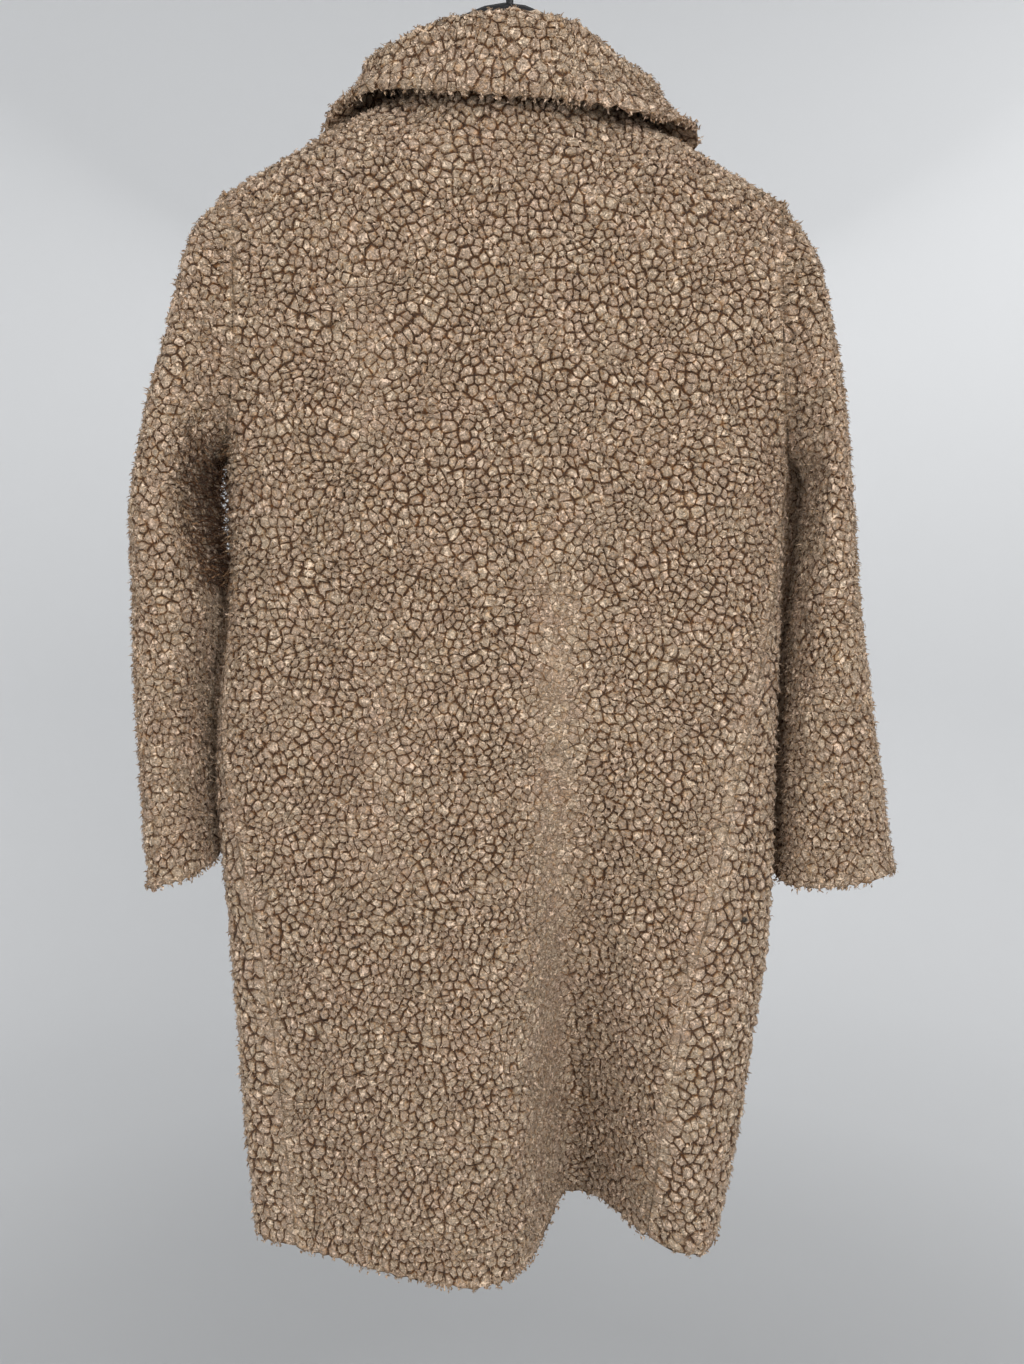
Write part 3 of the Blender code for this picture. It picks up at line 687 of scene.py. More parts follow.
# %% Join and bend the edges of the shares
SHORT = 0.26                # corners nearer than this many spacings become one
BENT_OVER = 1.0             # edges longer than this many spacings get a bend
BORDER_BENT_OVER = 0.3      # the same for edges on the border, where the bend makes a lobe
BEND, MOST_BEND = 0.18, 0.32         # usual and greatest bend, as shares of the edge's length
Cells = namedtuple("Cells", "cell vert after verts centres on_edge bend edge")


def next_in_cell(cell):
    """For each corner, the next one round its cell."""
    first = np.concatenate([[True], cell[1:] != cell[:-1]])
    starts = np.flatnonzero(first)
    after = np.arange(1, len(cell) + 1)
    after[np.concatenate([starts[1:], [len(cell)]]) - 1] = starts
    return after


def merge_short(cell, vert, verts, spacing):
    """Joins corners that all but touch, and drops what is no longer a face."""
    after = next_in_cell(cell)
    short = np.linalg.norm(verts[vert] - verts[vert[after]], axis=1) < SHORT * spacing
    parent = list(range(len(verts)))

    def root(i):
        while parent[i] != i:
            parent[i] = parent[parent[i]]
            i = parent[i]
        return i

    for i, j in zip(vert[short].tolist(), vert[after][short].tolist()):
        parent[root(i)] = root(j)
    roots = np.array([root(i) for i in range(len(verts))])
    vert = roots[vert]
    kept = vert != vert[after]
    cell, vert = cell[kept], vert[kept]
    kept = np.bincount(cell)[cell] >= 3
    used, vert = np.unique(vert[kept], return_inverse=True)
    _, cell = np.unique(cell[kept], return_inverse=True)
    members = np.maximum(np.bincount(roots, minlength=len(verts)), 1)
    middles = [np.bincount(roots, verts[:, k], len(verts)) / members for k in range(2)]
    return cell, vert, np.stack(middles, axis=1)[used]


def bend_edges(cell, vert, verts, spacing):
    """Puts a bend in the longer edges, so that the gaps between clumps wander."""
    after = next_in_cell(cell)
    count = np.bincount(cell)
    centres = [np.bincount(cell, verts[vert, k]) / count for k in range(2)]
    ends = np.sort(np.stack([vert, vert[after]], axis=1), axis=1)
    _, first, edge, times = np.unique(ends[:, 0] * len(verts) + ends[:, 1], return_index=True,
                                      return_inverse=True, return_counts=True)
    a, b = verts[ends[first, 0]], verts[ends[first, 1]]
    way = b - a
    longest = np.where(times > 1, BENT_OVER, BORDER_BENT_OVER) * spacing
    bent = np.linalg.norm(way, axis=1) > longest
    off = np.clip(rng.normal(0, BEND, len(way)), -MOST_BEND, MOST_BEND)
    off = np.where(times > 1, off, 0)
    middle = (a + b) / 2 + np.stack([-way[:, 1], way[:, 0]], axis=1) * off[:, None]
    number = np.full(len(way), -1)
    number[bent] = len(verts) + np.arange(bent.sum())
    counts = 1 + bent[edge]
    place = np.cumsum(counts) - counts
    bend = np.zeros(counts.sum(), bool)
    bend[place[bent[edge]] + 1] = True
    new_vert = np.empty(len(bend), int)
    new_vert[place] = vert
    new_vert[bend] = number[edge[bent[edge]]]
    on_edge = np.zeros(len(bend), bool)
    on_edge[place] = times[edge] == 1
    on_edge[bend] = times[edge[bent[edge]]] == 1
    new_cell = np.repeat(cell, counts)
    return Cells(new_cell, new_vert, next_in_cell(new_cell), np.concatenate([verts, middle[bent]]),
                 np.stack(centres, axis=1), on_edge, bend, np.repeat(edge, counts))


# %% Stretch the pattern unevenly
WARP_WAVES = 6              # waves in the warp that stretches clumps
WARP_SPREAD = (0.7, 1.7)    # shortest and longest of them, as shares of the usual one
WARP_STRAIN = 0.15          # how much each wave stretches a clump
WARP_STEPS = 14             # rounds in which the warp is undone
BORDER_STEP = 5 * MM        # the border has a point at least this often


def random_waves(count, wavelength, spread):
    """Waves over the flat cloth: which way each runs, where it starts and how close it is."""
    angle, phase = rng.uniform(0, 2 * math.pi, (2, count))
    wave = 2 * math.pi / (wavelength * rng.uniform(*spread, count))
    return np.stack([np.cos(angle), np.sin(angle)]) * wave, phase, wave


def make_warp(wavelength):
    """A smooth random shift of places that stretches clumps one way here and another there."""
    way, phase, wave = random_waves(WARP_WAVES, wavelength, WARP_SPREAD)
    reach = unit(rng.normal(size=(WARP_WAVES, 2))) * WARP_STRAIN / wave[:, None]
    return lambda places: np.cos(places @ way + phase) @ reach


def unwarped(places, warp):
    """The places that the warp carries to the given ones."""
    found = places
    for _ in range(WARP_STEPS):
        found = places - warp(found)
    return found


def with_steps(line, step):
    """A closed line of points with more points between them."""
    ahead = np.roll(line, -1, axis=0)
    counts = np.ceil(np.linalg.norm(ahead - line, axis=1) / step).astype(int)
    return np.concatenate([a + (b - a) * np.arange(n)[:, None] / n
                           for a, b, n in zip(line, ahead, counts)])


# %% Share the pattern out to the seeds
SAME_SEED = 1e-9            # metres; seeds this close are one
NO_AREA = 1e-14             # square metres, four times the area of a triangle that has none


def share_out(border, spacing):
    """Each seed's share of the pattern, as corners in order round it."""
    seeds, mirrored = scatter(border, spacing)
    every = np.concatenate([seeds, mirrored])
    found = delaunay_2d_cdt([Vector(p) for p in every.tolist()], [], [], 0, SAME_SEED)
    original = np.array([ids[0] if ids else -1 for ids in found[3]])
    places = np.array([tuple(p) for p in found[0]])
    triangles = np.array(found[2])
    a, b, c = (places[triangles[:, k]] for k in range(3))
    aa, bb, cc = ((p ** 2).sum(axis=1) for p in (a, b, c))
    whole = 2 * (a[:, 0] * (b[:, 1] - c[:, 1]) + b[:, 0] * (c[:, 1] - a[:, 1])
                 + c[:, 0] * (a[:, 1] - b[:, 1]))
    whole = np.where(np.abs(whole) < NO_AREA, NO_AREA, whole)
    x = aa * (b[:, 1] - c[:, 1]) + bb * (c[:, 1] - a[:, 1]) + cc * (a[:, 1] - b[:, 1])
    y = aa * (c[:, 0] - b[:, 0]) + bb * (a[:, 0] - c[:, 0]) + cc * (b[:, 0] - a[:, 0])
    verts = np.stack([x, y], axis=1) / whole[:, None]
    cell = original[triangles].ravel()
    vert = np.repeat(np.arange(len(triangles)), 3)
    own = (cell >= 0) & (cell < len(seeds))
    cell, vert = cell[own], vert[own]
    beyond = ~inside(border, verts)
    verts[beyond] = nearest_on(border, verts[beyond])[0]
    way = verts[vert] - seeds[cell]
    order = np.lexsort((np.arctan2(way[:, 1], way[:, 0]), cell))
    return bend_edges(*merge_short(cell[order], vert[order], verts, spacing), spacing)


# %% [markdown]
# The pile isn't equally lively all over. It is felted flat along a side seam, where the
# stitching holds it down, and where the coat was pressed into a fold. In between, its liveliness
# drifts from place to place.

# %% Where the pile lies calm
FELT_WIDTH = 6 * MM         # half width of the flat strip along a seam
FELT_BELOW = -490 * MM      # above the armpit the pile hides the seams
Pressed = namedtuple("Pressed", "piece x_top z_top x_low z_low width calm")   # millimetres
PRESSED = [Pressed(*row) for row in (
    ("back", 44, -600, 36, -1130, 16, 0.8),
    ("back", 40, -520, 34, -1200, 34, 0.3),
    ("back", -118, -330, -120, -470, 22, 0.35),
    ("back", -104, -660, -112, -860, 30, 0.3),
    ("back", 168, -960, 122, -1200, 14, 0.3),
    ("back", 186, -740, 160, -980, 16, 0.3),
)]
ZONE_FADE = 0.12            # a zone fades over this share of its length, past each end
DRIFT_WAVES, DRIFT_SPREAD = 8, (0.6, 1.6)
DRIFT_SHARE = 0.12          # how much the drift makes the pile calmer or livelier


def make_drift(wavelength):
    """A smooth random field over the flat cloth, mostly between -1 and 1."""
    way, phase, _ = random_waves(DRIFT_WAVES, wavelength, DRIFT_SPREAD)
    return lambda places: np.cos(places @ way + phase).sum(axis=1) / math.sqrt(DRIFT_WAVES)


def calm_at(name, at, seam_gap, drift, usual):
    """How calm the pile lies, from 0, upright, to 1, felted flat."""
    upright = 1 - np.exp(-(seam_gap / FELT_WIDTH) ** 2)
    for zone in PRESSED:
        if zone.piece == name:
            run = (zone.z_top * MM - at[:, 2]) / ((zone.z_top - zone.z_low) * MM)
            line = (zone.x_top + (zone.x_low - zone.x_top) * np.clip(run, 0, 1)) * MM
            ends = (smooth_between(-ZONE_FADE, ZONE_FADE, run)
                    * (1 - smooth_between(1 - ZONE_FADE, 1 + ZONE_FADE, run)))
            near = np.exp(-((at[:, 0] - line) / (zone.width * MM)) ** 2)
            upright = upright * (1 - zone.calm * near * ends)
    return np.clip(1 - upright * (1 - usual - DRIFT_SHARE * drift), 0, 1)


# %% [markdown]
# A clump rises in rings: a narrow gap at the bottom, a steep side up to a light rim, and a
# rounded top that leans down the coat, the way the pile was brushed. The gap's depth and the
# top's height differ from clump to clump. Each point also carries a value, pile, that says how
# far up the pile it lies, from 0 at the root to 1, and the finish is coloured by it: darker
# towards the root, as painted shade in the gaps.

# %% Sizes and shape of a clump
TOP_RISE = 1.5 * MM         # how much higher or lower a clump stands than the next
DOME, CALM_DOME = 1.9 * MM, 0.4      # the top's middle above its rim, and its share where calm
RIM_ROUGH = 0.3             # millimetres by which the rim goes up and down
TOP_ABOVE = 0.2 * MM        # a usual top stands this far above the cloth's face
RIM_SHARE, CALM_RIM = 0.69, 0.96     # the rim's reach, as shares of the cell's
RIM_UNEVEN, RIM_MOST = (-0.07, 0.05), 0.97
ROUNDING = 0.4              # how far a clump's far corners are drawn in, towards a circle
STRAY = 0.7 * MM            # how far a top strays from the middle
CALM_TILT, RIM_TILT = 0.25, 0.5      # shares of a top's lean: where calm, and of its rim
INNER_SHARE, INNER_UNEVEN = 0.55, (0.7, 1)           # inside, the pile is this much as deep
LEAN_GROWTH, LEAN_FROM = 1.1, 0.3    # below this many metres it leans more, by this share each
LOBE = (0.2 * MM, 2.8 * MM)          # how far a clump stands out over an open edge
LOBE_MORE = (0.8 * MM, 2.2 * MM)     # and farther in the middle of the cloth's thickness
NOTCH = (-0.6 * MM, 0.9 * MM)        # how far the gaps between such clumps are drawn in
BROKEN_SHALLOW = (0.45, 0.95)        # how nearly a shallow gap is filled with pile
CALM_SHALLOW = 0.88         # the same where the pile lies calm
SEAM_SHALLOW = (0.8, 1.0)   # and along a seam
EDGE_SHALLOW = (0.45, 1.0)  # and along an open edge
GAP_UNEVEN = (0.8, 1.1)     # a gap's depth, as shares of the plan's
SEAM_TUFTED = 0.4           # share of a seam's points with tufts over it
# Pile values: a filled gap's, a rim's and a top's, and how much rims differ and calm tops sink.
# Low pile values, here and below, are coloured dark as painted shade in gaps and notches.
FILLED, RIM_PILE, TOP_PILE = 0.62, 0.66, 0.86
RIM_SPREAD, CALM_TOP = 0.06, 0.16
INSIDE_PILE = {"rim": 0.65, "top": 0.9, "gap": 0.1, "backing": 0.5}
EDGE_PILE = {"lobe": 0.8, "notch": 0.45, "seam": 0.5}
MIDDLE_TONE = 0.5           # each clump has its own tone, from 0 to 1, and its gap this one
GRAVITY = np.array([0, 0, -1.0])
Mound = namedtuple("Mound", "verts faces pile tone material tops rims normals cell edges ways")


def ring_points(cells, corners, middles, normals, lean, calm):
    """The rims and tops of one side of the cloth."""
    cell, count = cells.cell, len(middles)
    upright = 1 - calm
    stray = unit(rng.normal(size=(count, 3))) * STRAY * rng.random((count, 1))
    down = GRAVITY - normals * (normals @ GRAVITY)[:, None]
    tilt = (down * lean[:, None] + stray) * (CALM_TILT + (1 - CALM_TILT) * upright)[:, None]
    rise = rng.uniform(-1, 1, count) * TOP_RISE * upright
    out = corners[cells.vert] - middles[cell]
    reach = np.linalg.norm(out, axis=1)
    usual = np.bincount(cell, reach) / np.bincount(cell)
    share = RIM_SHARE + (CALM_RIM - RIM_SHARE) * calm[cell] + rng.uniform(*RIM_UNEVEN, len(cell))
    share = np.minimum(share * (usual[cell] / reach) ** ROUNDING, RIM_MOST)
    height = (rise[cell] - DOME * (CALM_DOME + (1 - CALM_DOME) * upright[cell])
              + rng.uniform(-RIM_ROUGH, RIM_ROUGH, len(cell)) * MM)
    rim = (middles[cell] + out * share[:, None] + tilt[cell] * RIM_TILT
           + normals[cell] * height[:, None])
    top = middles + tilt + normals * (rise + TOP_ABOVE)[:, None]
    return rim, top


def border_points(cells, at, mid, facing, open_edge):
    """Which points lie on the border, on an open edge and on its lobes, and the way outwards."""
    border, lobe = np.zeros(len(at), bool), np.zeros(len(at), bool)
    border[cells.vert[cells.on_edge]] = True
    border[cells.vert[cells.after][cells.on_edge]] = True
    opened = border & open_edge
    lobe[cells.vert[cells.bend & cells.on_edge]] = True
    outwards = np.zeros((len(at), 3))
    np.add.at(outwards, cells.vert, at[cells.vert] - mid[cells.cell])
    outwards = unit(outwards - facing * (outwards * facing).sum(axis=1)[:, None])
    return border, opened, lobe & opened, outwards


def how_shallow(plan, calm, border, open_edge, lobe):
    """How nearly the gap is filled at each of its points, from 0, empty, to 1."""
    count = len(calm)
    shallow = (rng.random(count) < plan.broken) * rng.uniform(*BROKEN_SHALLOW, count)
    shallow = np.maximum(shallow, CALM_SHALLOW * calm)
    at_edge, at_seam = rng.uniform(*EDGE_SHALLOW, count), rng.uniform(*SEAM_SHALLOW, count)
    shallow = np.where(border, np.where(open_edge, at_edge, at_seam), shallow)
    return np.where(lobe, 1, shallow)


# %% Raise the clumps
def raise_pile(cloth, plan, cells, calm_vert, calm_cell, furred, open_edge):
    """The whole wall of a piece: clumps outside, backing or clumps inside, edges closed."""
    at, facing = look_up(cloth, cells.verts)
    mid, mid_facing = look_up(cloth, cells.centres)
    cell, vert, after = cells.cell, cells.vert, cells.after
    n_vert, n_corner, n_cell = len(at), len(cell), len(mid)
    next_vert = vert[after]
    corner = np.arange(n_corner)
    lean = plan.lean * MM * (1 + LEAN_GROWTH * np.clip(-mid[:, 2] - LEAN_FROM, 0, 1))

    # outside
    border, opened, lobe, outwards = border_points(cells, at, mid, facing, open_edge)
    notch = np.where(opened, -rng.uniform(*NOTCH, n_vert), 0)
    push = np.where(lobe, rng.uniform(*LOBE, n_vert), notch)
    at = at + outwards * push[:, None]
    shallow = how_shallow(plan, calm_vert, border, open_edge, lobe)
    gap = plan.depth * MM * rng.uniform(*GAP_UNEVEN, n_vert) * (1 - shallow)
    rim, top = ring_points(cells, at, mid, mid_facing, lean, calm_cell)
    tone_cell = rng.random(n_cell)
    verts = [at - facing * gap[:, None], rim, top]
    pile = [FILLED * shallow, RIM_PILE + RIM_SPREAD * rng.random(n_corner),
            TOP_PILE - CALM_TOP * calm_cell]
    tone = [np.full(n_vert, MIDDLE_TONE), tone_cell[cell], tone_cell]
    rim_at = n_vert + corner
    top_at = n_vert + n_corner + cell
    quads = [np.stack([vert, next_vert, rim_at[after], rim_at], axis=1)]
    tris = [np.stack([rim_at, rim_at[after], top_at], axis=1)]

    # the lining side, and the edge round the piece
    lining_at = n_vert + n_corner + n_cell
    fur_vert = np.zeros(n_vert, bool)
    fur_vert[vert[furred[cell]]] = True
    sunk = fur_vert & ~lobe
    inner_gap = plan.depth * MM * INNER_SHARE * rng.uniform(*INNER_UNEVEN, n_vert)
    inner_gap = np.where(sunk, inner_gap, 0)
    verts.append(at - facing * (WALL - inner_gap)[:, None])
    under = np.where(sunk, INSIDE_PILE["gap"], INSIDE_PILE["backing"])
    pile.append(np.where(lobe, RIM_PILE, under))
    tone.append(np.full(n_vert, MIDDLE_TONE))
    edge_vert = np.flatnonzero(border)
    edge_at = np.full(n_vert, -1)
    edge_at[edge_vert] = lining_at + n_vert + np.arange(len(edge_vert))
    more = np.where(lobe, rng.uniform(*LOBE_MORE, n_vert), notch)
    edges = at - facing * WALL / 2 + outwards * more[:, None]
    verts.append(edges[edge_vert])
    under = np.where(opened, EDGE_PILE["notch"], EDGE_PILE["seam"])
    pile.append(np.where(lobe, EDGE_PILE["lobe"], under)[edge_vert])
    tone.append(rng.random(len(edge_vert)))
    e = cells.on_edge
    quads.append(np.stack([next_vert[e], vert[e], edge_at[vert[e]], edge_at[next_vert[e]]], axis=1))
    quads.append(np.stack([edge_at[next_vert[e]], edge_at[vert[e]], lining_at + vert[e],
                           lining_at + next_vert[e]], axis=1))
    after_edges = lining_at + n_vert + len(edge_vert)

    # fur turned to the inside
    edge_furred = np.zeros(cells.edge.max() + 1, bool)
    edge_furred[cells.edge[furred[cell]]] = True
    if furred.any():
        level = at - facing * WALL, mid - mid_facing * WALL
        rim_in, top_in = ring_points(cells, *level, -mid_facing, lean, calm_cell)
        chosen = np.flatnonzero(furred[cell])
        place = np.full(n_corner, -1)
        place[chosen] = after_edges + np.arange(len(chosen))
        cell_place = np.full(n_cell, -1)
        cell_place[furred] = after_edges + len(chosen) + np.arange(furred.sum())
        verts += [rim_in[chosen], top_in[furred]]
        pile += [np.full(len(chosen), INSIDE_PILE["rim"]),
                 np.full(furred.sum(), INSIDE_PILE["top"])]
        tone += [tone_cell[cell[chosen]], tone_cell[furred]]
        base = lining_at + vert
        quads.append(np.stack([base[after], base, place, place[after]], axis=1)[chosen])
        tris.append(np.stack([place[after], place, cell_place[cell]], axis=1)[chosen])
    seamed = border & ~opened & (at[:, 2] > FELT_BELOW) & (rng.random(n_vert) < SEAM_TUFTED)
    tuft_roots = (np.concatenate([edges[lobe], at[lobe], (at - facing * MM)[seamed]]),
                  np.concatenate([outwards[lobe], outwards[lobe], facing[seamed]]))
    kept = ~furred[cell] & (~cells.bend | cells.on_edge | edge_furred[cells.edge])
    shares = np.split((lining_at + vert)[kept], np.flatnonzero(np.diff(cell[kept])) + 1)
    plain = [share[::-1].tolist() for share in shares if len(share)]
    faces = np.concatenate(quads).tolist() + np.concatenate(tris).tolist() + plain
    material = [0] * (len(faces) - len(plain)) + [1] * len(plain)
    return Mound(np.concatenate(verts), faces, np.concatenate(pile), np.concatenate(tone),
                 material, top, rim, mid_facing, cell, *tuft_roots)


def set_values(mesh, name, values):
    mesh.attributes.new(name, "FLOAT", "POINT").data.foreach_set("value", values.astype(np.float32))


def link_piece(name, mesh):
    piece = put_in_scene(name, mesh)
    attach(piece, "root")
    return piece


def triangles_in(mesh):
    return sum(len(face.vertices) - 2 for face in mesh.polygons)


# %% [markdown]
# Tufts of fibres stand off the clumps: each is a bent sliver that starts near a clump's rim
# and curls down the coat. Others lie curled on the tops. They break up the clumps' edges and
# make the outline shaggy.

# %% Tufts
Tuft = namedtuple("Tuft", "width shortest longest")     # millimetres
STANDING = Tuft(1.5, 3.0, 5.6)
SIDE_SHAG = 0.35            # standing tufts are up to this share longer on the coat's sides
ARMPIT = (-268 * MM, -515 * MM)      # x, z of the gap under the left arm
ARMPIT_REACH = (26 * MM, 80 * MM)
ARMPIT_SHAG = 2.6           # there the tufts are longer still, and fill it
ARMPIT_PAINTED_SHADE = 0.25          # and are painted darker, at this share of the usual pile value: painted shade for the gap
CURLED = Tuft(1.0, 2.6, 5.0)
AT_EDGE = Tuft(1.8, 1.8, 4.6)
CURLED_SHARE = 0.5          # share of tufts that lie on the tops
CURLED_LIFT, STANDING_SUNK, EDGE_SPREAD = 0.5, 0.6, 1.4      # millimetres, of their roots
CURLED_REACH = 0.85         # curled tufts start within this share of the way to the rim
EDGE_TUFTS = 6              # tufts for each point of an open edge or a seam
KNEE, NARROWED = 0.5, 0.85  # where a sliver bends, and its width there
UNEVEN_WIDTH = (0.7, 1.2)
# How much of each direction is in a sliver's way and in its bend.
CURLED_RISE, CURLED_ON, CURLED_ROLL = 0.15, 0.5, 0.35        # off the cloth, along it, rolled
UPWARDS, AWAY, DROOP, UNRULY = 0.75, 0.45, 0.3, 0.35         # a standing one's way
BEND_DROOP, BEND_UNRULY = 0.6, 0.45  # and its bend
EDGE_UNRULY, EDGE_BEND = 0.5, 0.6    # the random part at an edge
SLIVER_PILE = [0.6, 0.6, 0.66, 0.66, 0.66]          # pile values, from its root to its tip


def sliver_mesh(name, slivers):
    """Bent slivers, each of a quad and a triangle, joined in one mesh."""
    root, way, bend, side, length, shade = (np.concatenate(part) for part in zip(*slivers))
    count = len(root)
    middle = root + way * length * KNEE
    tip = middle + bend * length * (1 - KNEE)
    narrower = side * NARROWED
    verts = np.stack([root - side, root + side, middle + narrower, middle - narrower, tip], axis=1)
    base = np.arange(count)[:, None] * len(SLIVER_PILE)
    faces = (base + [0, 1, 2, 3]).tolist() + (base + [3, 2, 4]).tolist()
    mesh = bpy.data.meshes.new(name)
    mesh.from_pydata(verts.reshape(-1, 3).tolist(), [], faces)
    set_values(mesh, "pile", (shade * SLIVER_PILE).ravel())
    set_values(mesh, "tone", np.repeat(rng.random(count), len(SLIVER_PILE)))
    mesh.shade_smooth()
    return mesh


def any_way(count):
    return rng.normal(size=(count, 3))


def sides(way, across, kind):
    """Half a sliver's width, across its way."""
    half = kind.width * MM / 2 * rng.uniform(*UNEVEN_WIDTH, (len(way), 1))
    return unit(np.cross(way, across)) * half


def lengths(kind, count):
    return rng.uniform(kind.shortest, kind.longest, (count, 1)) * MM


def grow_tufts(name, mound, per_cell):
    count = int(len(mound.tops) * per_cell)
    corner = rng.integers(0, len(mound.cell), count)
    lying = int(count * CURLED_SHARE)
    slivers = []
    for kind, corners in ((CURLED, corner[:lying]), (STANDING, corner[lying:])):
        own, many = mound.cell[corners], len(corners)
        reach, shade = lengths(kind, many), np.ones((many, 1))
        n, rim, top = mound.normals[own], mound.rims[corners], mound.tops[own]
        chance = rng.random((many, 1))
        if kind is CURLED:
            root = top + (rim - top) * chance * CURLED_REACH + n * CURLED_LIFT * MM
            flat = any_way(many)
            flat = unit(flat - n * (flat * n).sum(axis=1)[:, None])
            way = unit(flat + n * CURLED_RISE)
            # along the cloth and then round to one side
            turn = rng.choice([-1, 1], (many, 1))
            bend = unit(np.cross(n, flat) * turn + flat * CURLED_ON - n * CURLED_RISE)
            side = sides(way, n + any_way(many) * CURLED_ROLL, kind)
        else:
            root = top + (rim - top) * (0.5 + 0.5 * chance) - n * STANDING_SUNK * MM
            out = unit(rim - top)
            # mostly up from the cloth, a little away from the clump's middle, and down the coat
            way = unit(n * UPWARDS + out * AWAY + GRAVITY * DROOP + any_way(many) * UNRULY)
            bend = unit(way + GRAVITY * BEND_DROOP + any_way(many) * BEND_UNRULY)
            side = sides(way, any_way(many), kind)
            sideways = 1 - np.abs(n[:, 1:2])
            near = (np.abs(root[:, [0, 2]] - ARMPIT) < ARMPIT_REACH).all(axis=1)[:, None]
            near = near * sideways
            reach *= 1 + SIDE_SHAG * sideways + ARMPIT_SHAG * near
            # painted shade: tufts in the gap under the left arm are coloured darker, for the gap's
            # shadow
            shade -= (1 - ARMPIT_PAINTED_SHADE) * near
        slivers.append((root, way, bend, side, reach, shade))
    if len(mound.edges):
        edge, way = (np.repeat(part, EDGE_TUFTS, axis=0) for part in (mound.edges, mound.ways))
        many = len(edge)
        way = unit(way + any_way(many) * EDGE_UNRULY)
        root = edge - way * MM + any_way(many) * EDGE_SPREAD * MM
        bend = unit(way + any_way(many) * EDGE_BEND)
        slivers.append((root, way, bend, sides(way, any_way(many), AT_EDGE),
                        lengths(AT_EDGE, many), np.ones((many, 1))))
    return sliver_mesh(name, slivers)


# %% [markdown]
# ## Finishes
# Colours are given as they look, in sRGB hex, and one function turns them into the linear
# values that a shader works in. Another adds a node with its settings and links.

# %% Helpers for materials
def colour(code):
    """Linear RGBA of an sRGB hex colour."""
    channels = [int(code[i:i + 2], 16) / 255 for i in (0, 2, 4)]
    return (*[c / 12.92 if c <= 0.04045 else ((c + 0.055) / 1.055) ** 2.4 for c in channels], 1)


def set_sockets(node, **inputs):
    """Sockets set to values or linked to others. _0 is the first, and a node gives its first."""
    for key, value in inputs.items():
        name = key.replace("_", " ")
        socket = node.inputs[int(key[1:])] if key[1:].isdigit() else node.inputs[name]
        if isinstance(value, bpy.types.Node):
            value = value.outputs[0]
        if isinstance(value, bpy.types.NodeSocket):
            node.id_data.links.new(value, socket)
        else:
            socket.default_value = value
    return node


def add(tree, kind, settings=None, stops=(), **inputs):
    """A node with its settings, its sockets, and its stops of place and colour if it has any."""
    node = tree.nodes.new("ShaderNode" + kind)
    for key, value in (settings or {}).items():
        setattr(node, key, value)
    elements = node.color_ramp.elements if stops else []
    while len(elements) < len(stops):
        elements.new(0.5)
    for element, (place, code) in zip(elements, stops):
        element.position = place
        element.color = colour(code)
    return set_sockets(node, **inputs)


def new_finish(name, **inputs):
    """A material, its nodes, its shader and the place on the object, in metres."""
    made = bpy.data.materials.new(name)
    made.use_nodes = True
    tree = made.node_tree
    shader = set_sockets(tree.nodes["Principled BSDF"], **inputs)
    return made, tree, shader, add(tree, "TexCoord").outputs["Object"]


print("tan", "D5BAA0", "is", [round(c, 3) for c in colour("D5BAA0")[:3]], "in linear light")

# %% [markdown]
# Teddy fur is polyester pile, matt and soft. Each clump is painted brown at its root and lighter
# up to its top, as painted shade in the gaps between clumps, with a ragged line between, because
# its fibres curl over one another. The curls are drawn 5.2 mm across and their fibres 1.9 mm, a
# few times coarser than real ones so that they show, as a fine bump and a fine change of tone.
# Every clump differs a little in tone, and the whole coat drifts between a warmer and a cooler
# tan.

# %% Polyester teddy pile
CURL_PER_METRE = 1 / (5.2 * MM)
FIBRE_PER_METRE = 1 / (1.9 * MM)
PATCH_PER_METRE = 1 / (30 * MM)
LINT_PLACE = (216.6 * MM, -53.2 * MM, -901.5 * MM)   # a bit of dark lint by the right side seam
LINT_SIZE = 4.5 * MM
# tan of the pile, with painted shade at the low values, the roots in the gaps
PILE_TAN_AND_PAINTED_SHADE = [(0.0, "563820"), (0.26, "6B492D"), (0.48, "A28465"), (0.66, "D5BAA0"),
              (0.82, "E8D1BB"), (1.0, "EDD8C4")]
TINT_STOPS = [(0.4, "FFF6F0"), (1.0, "FBF9F1")]


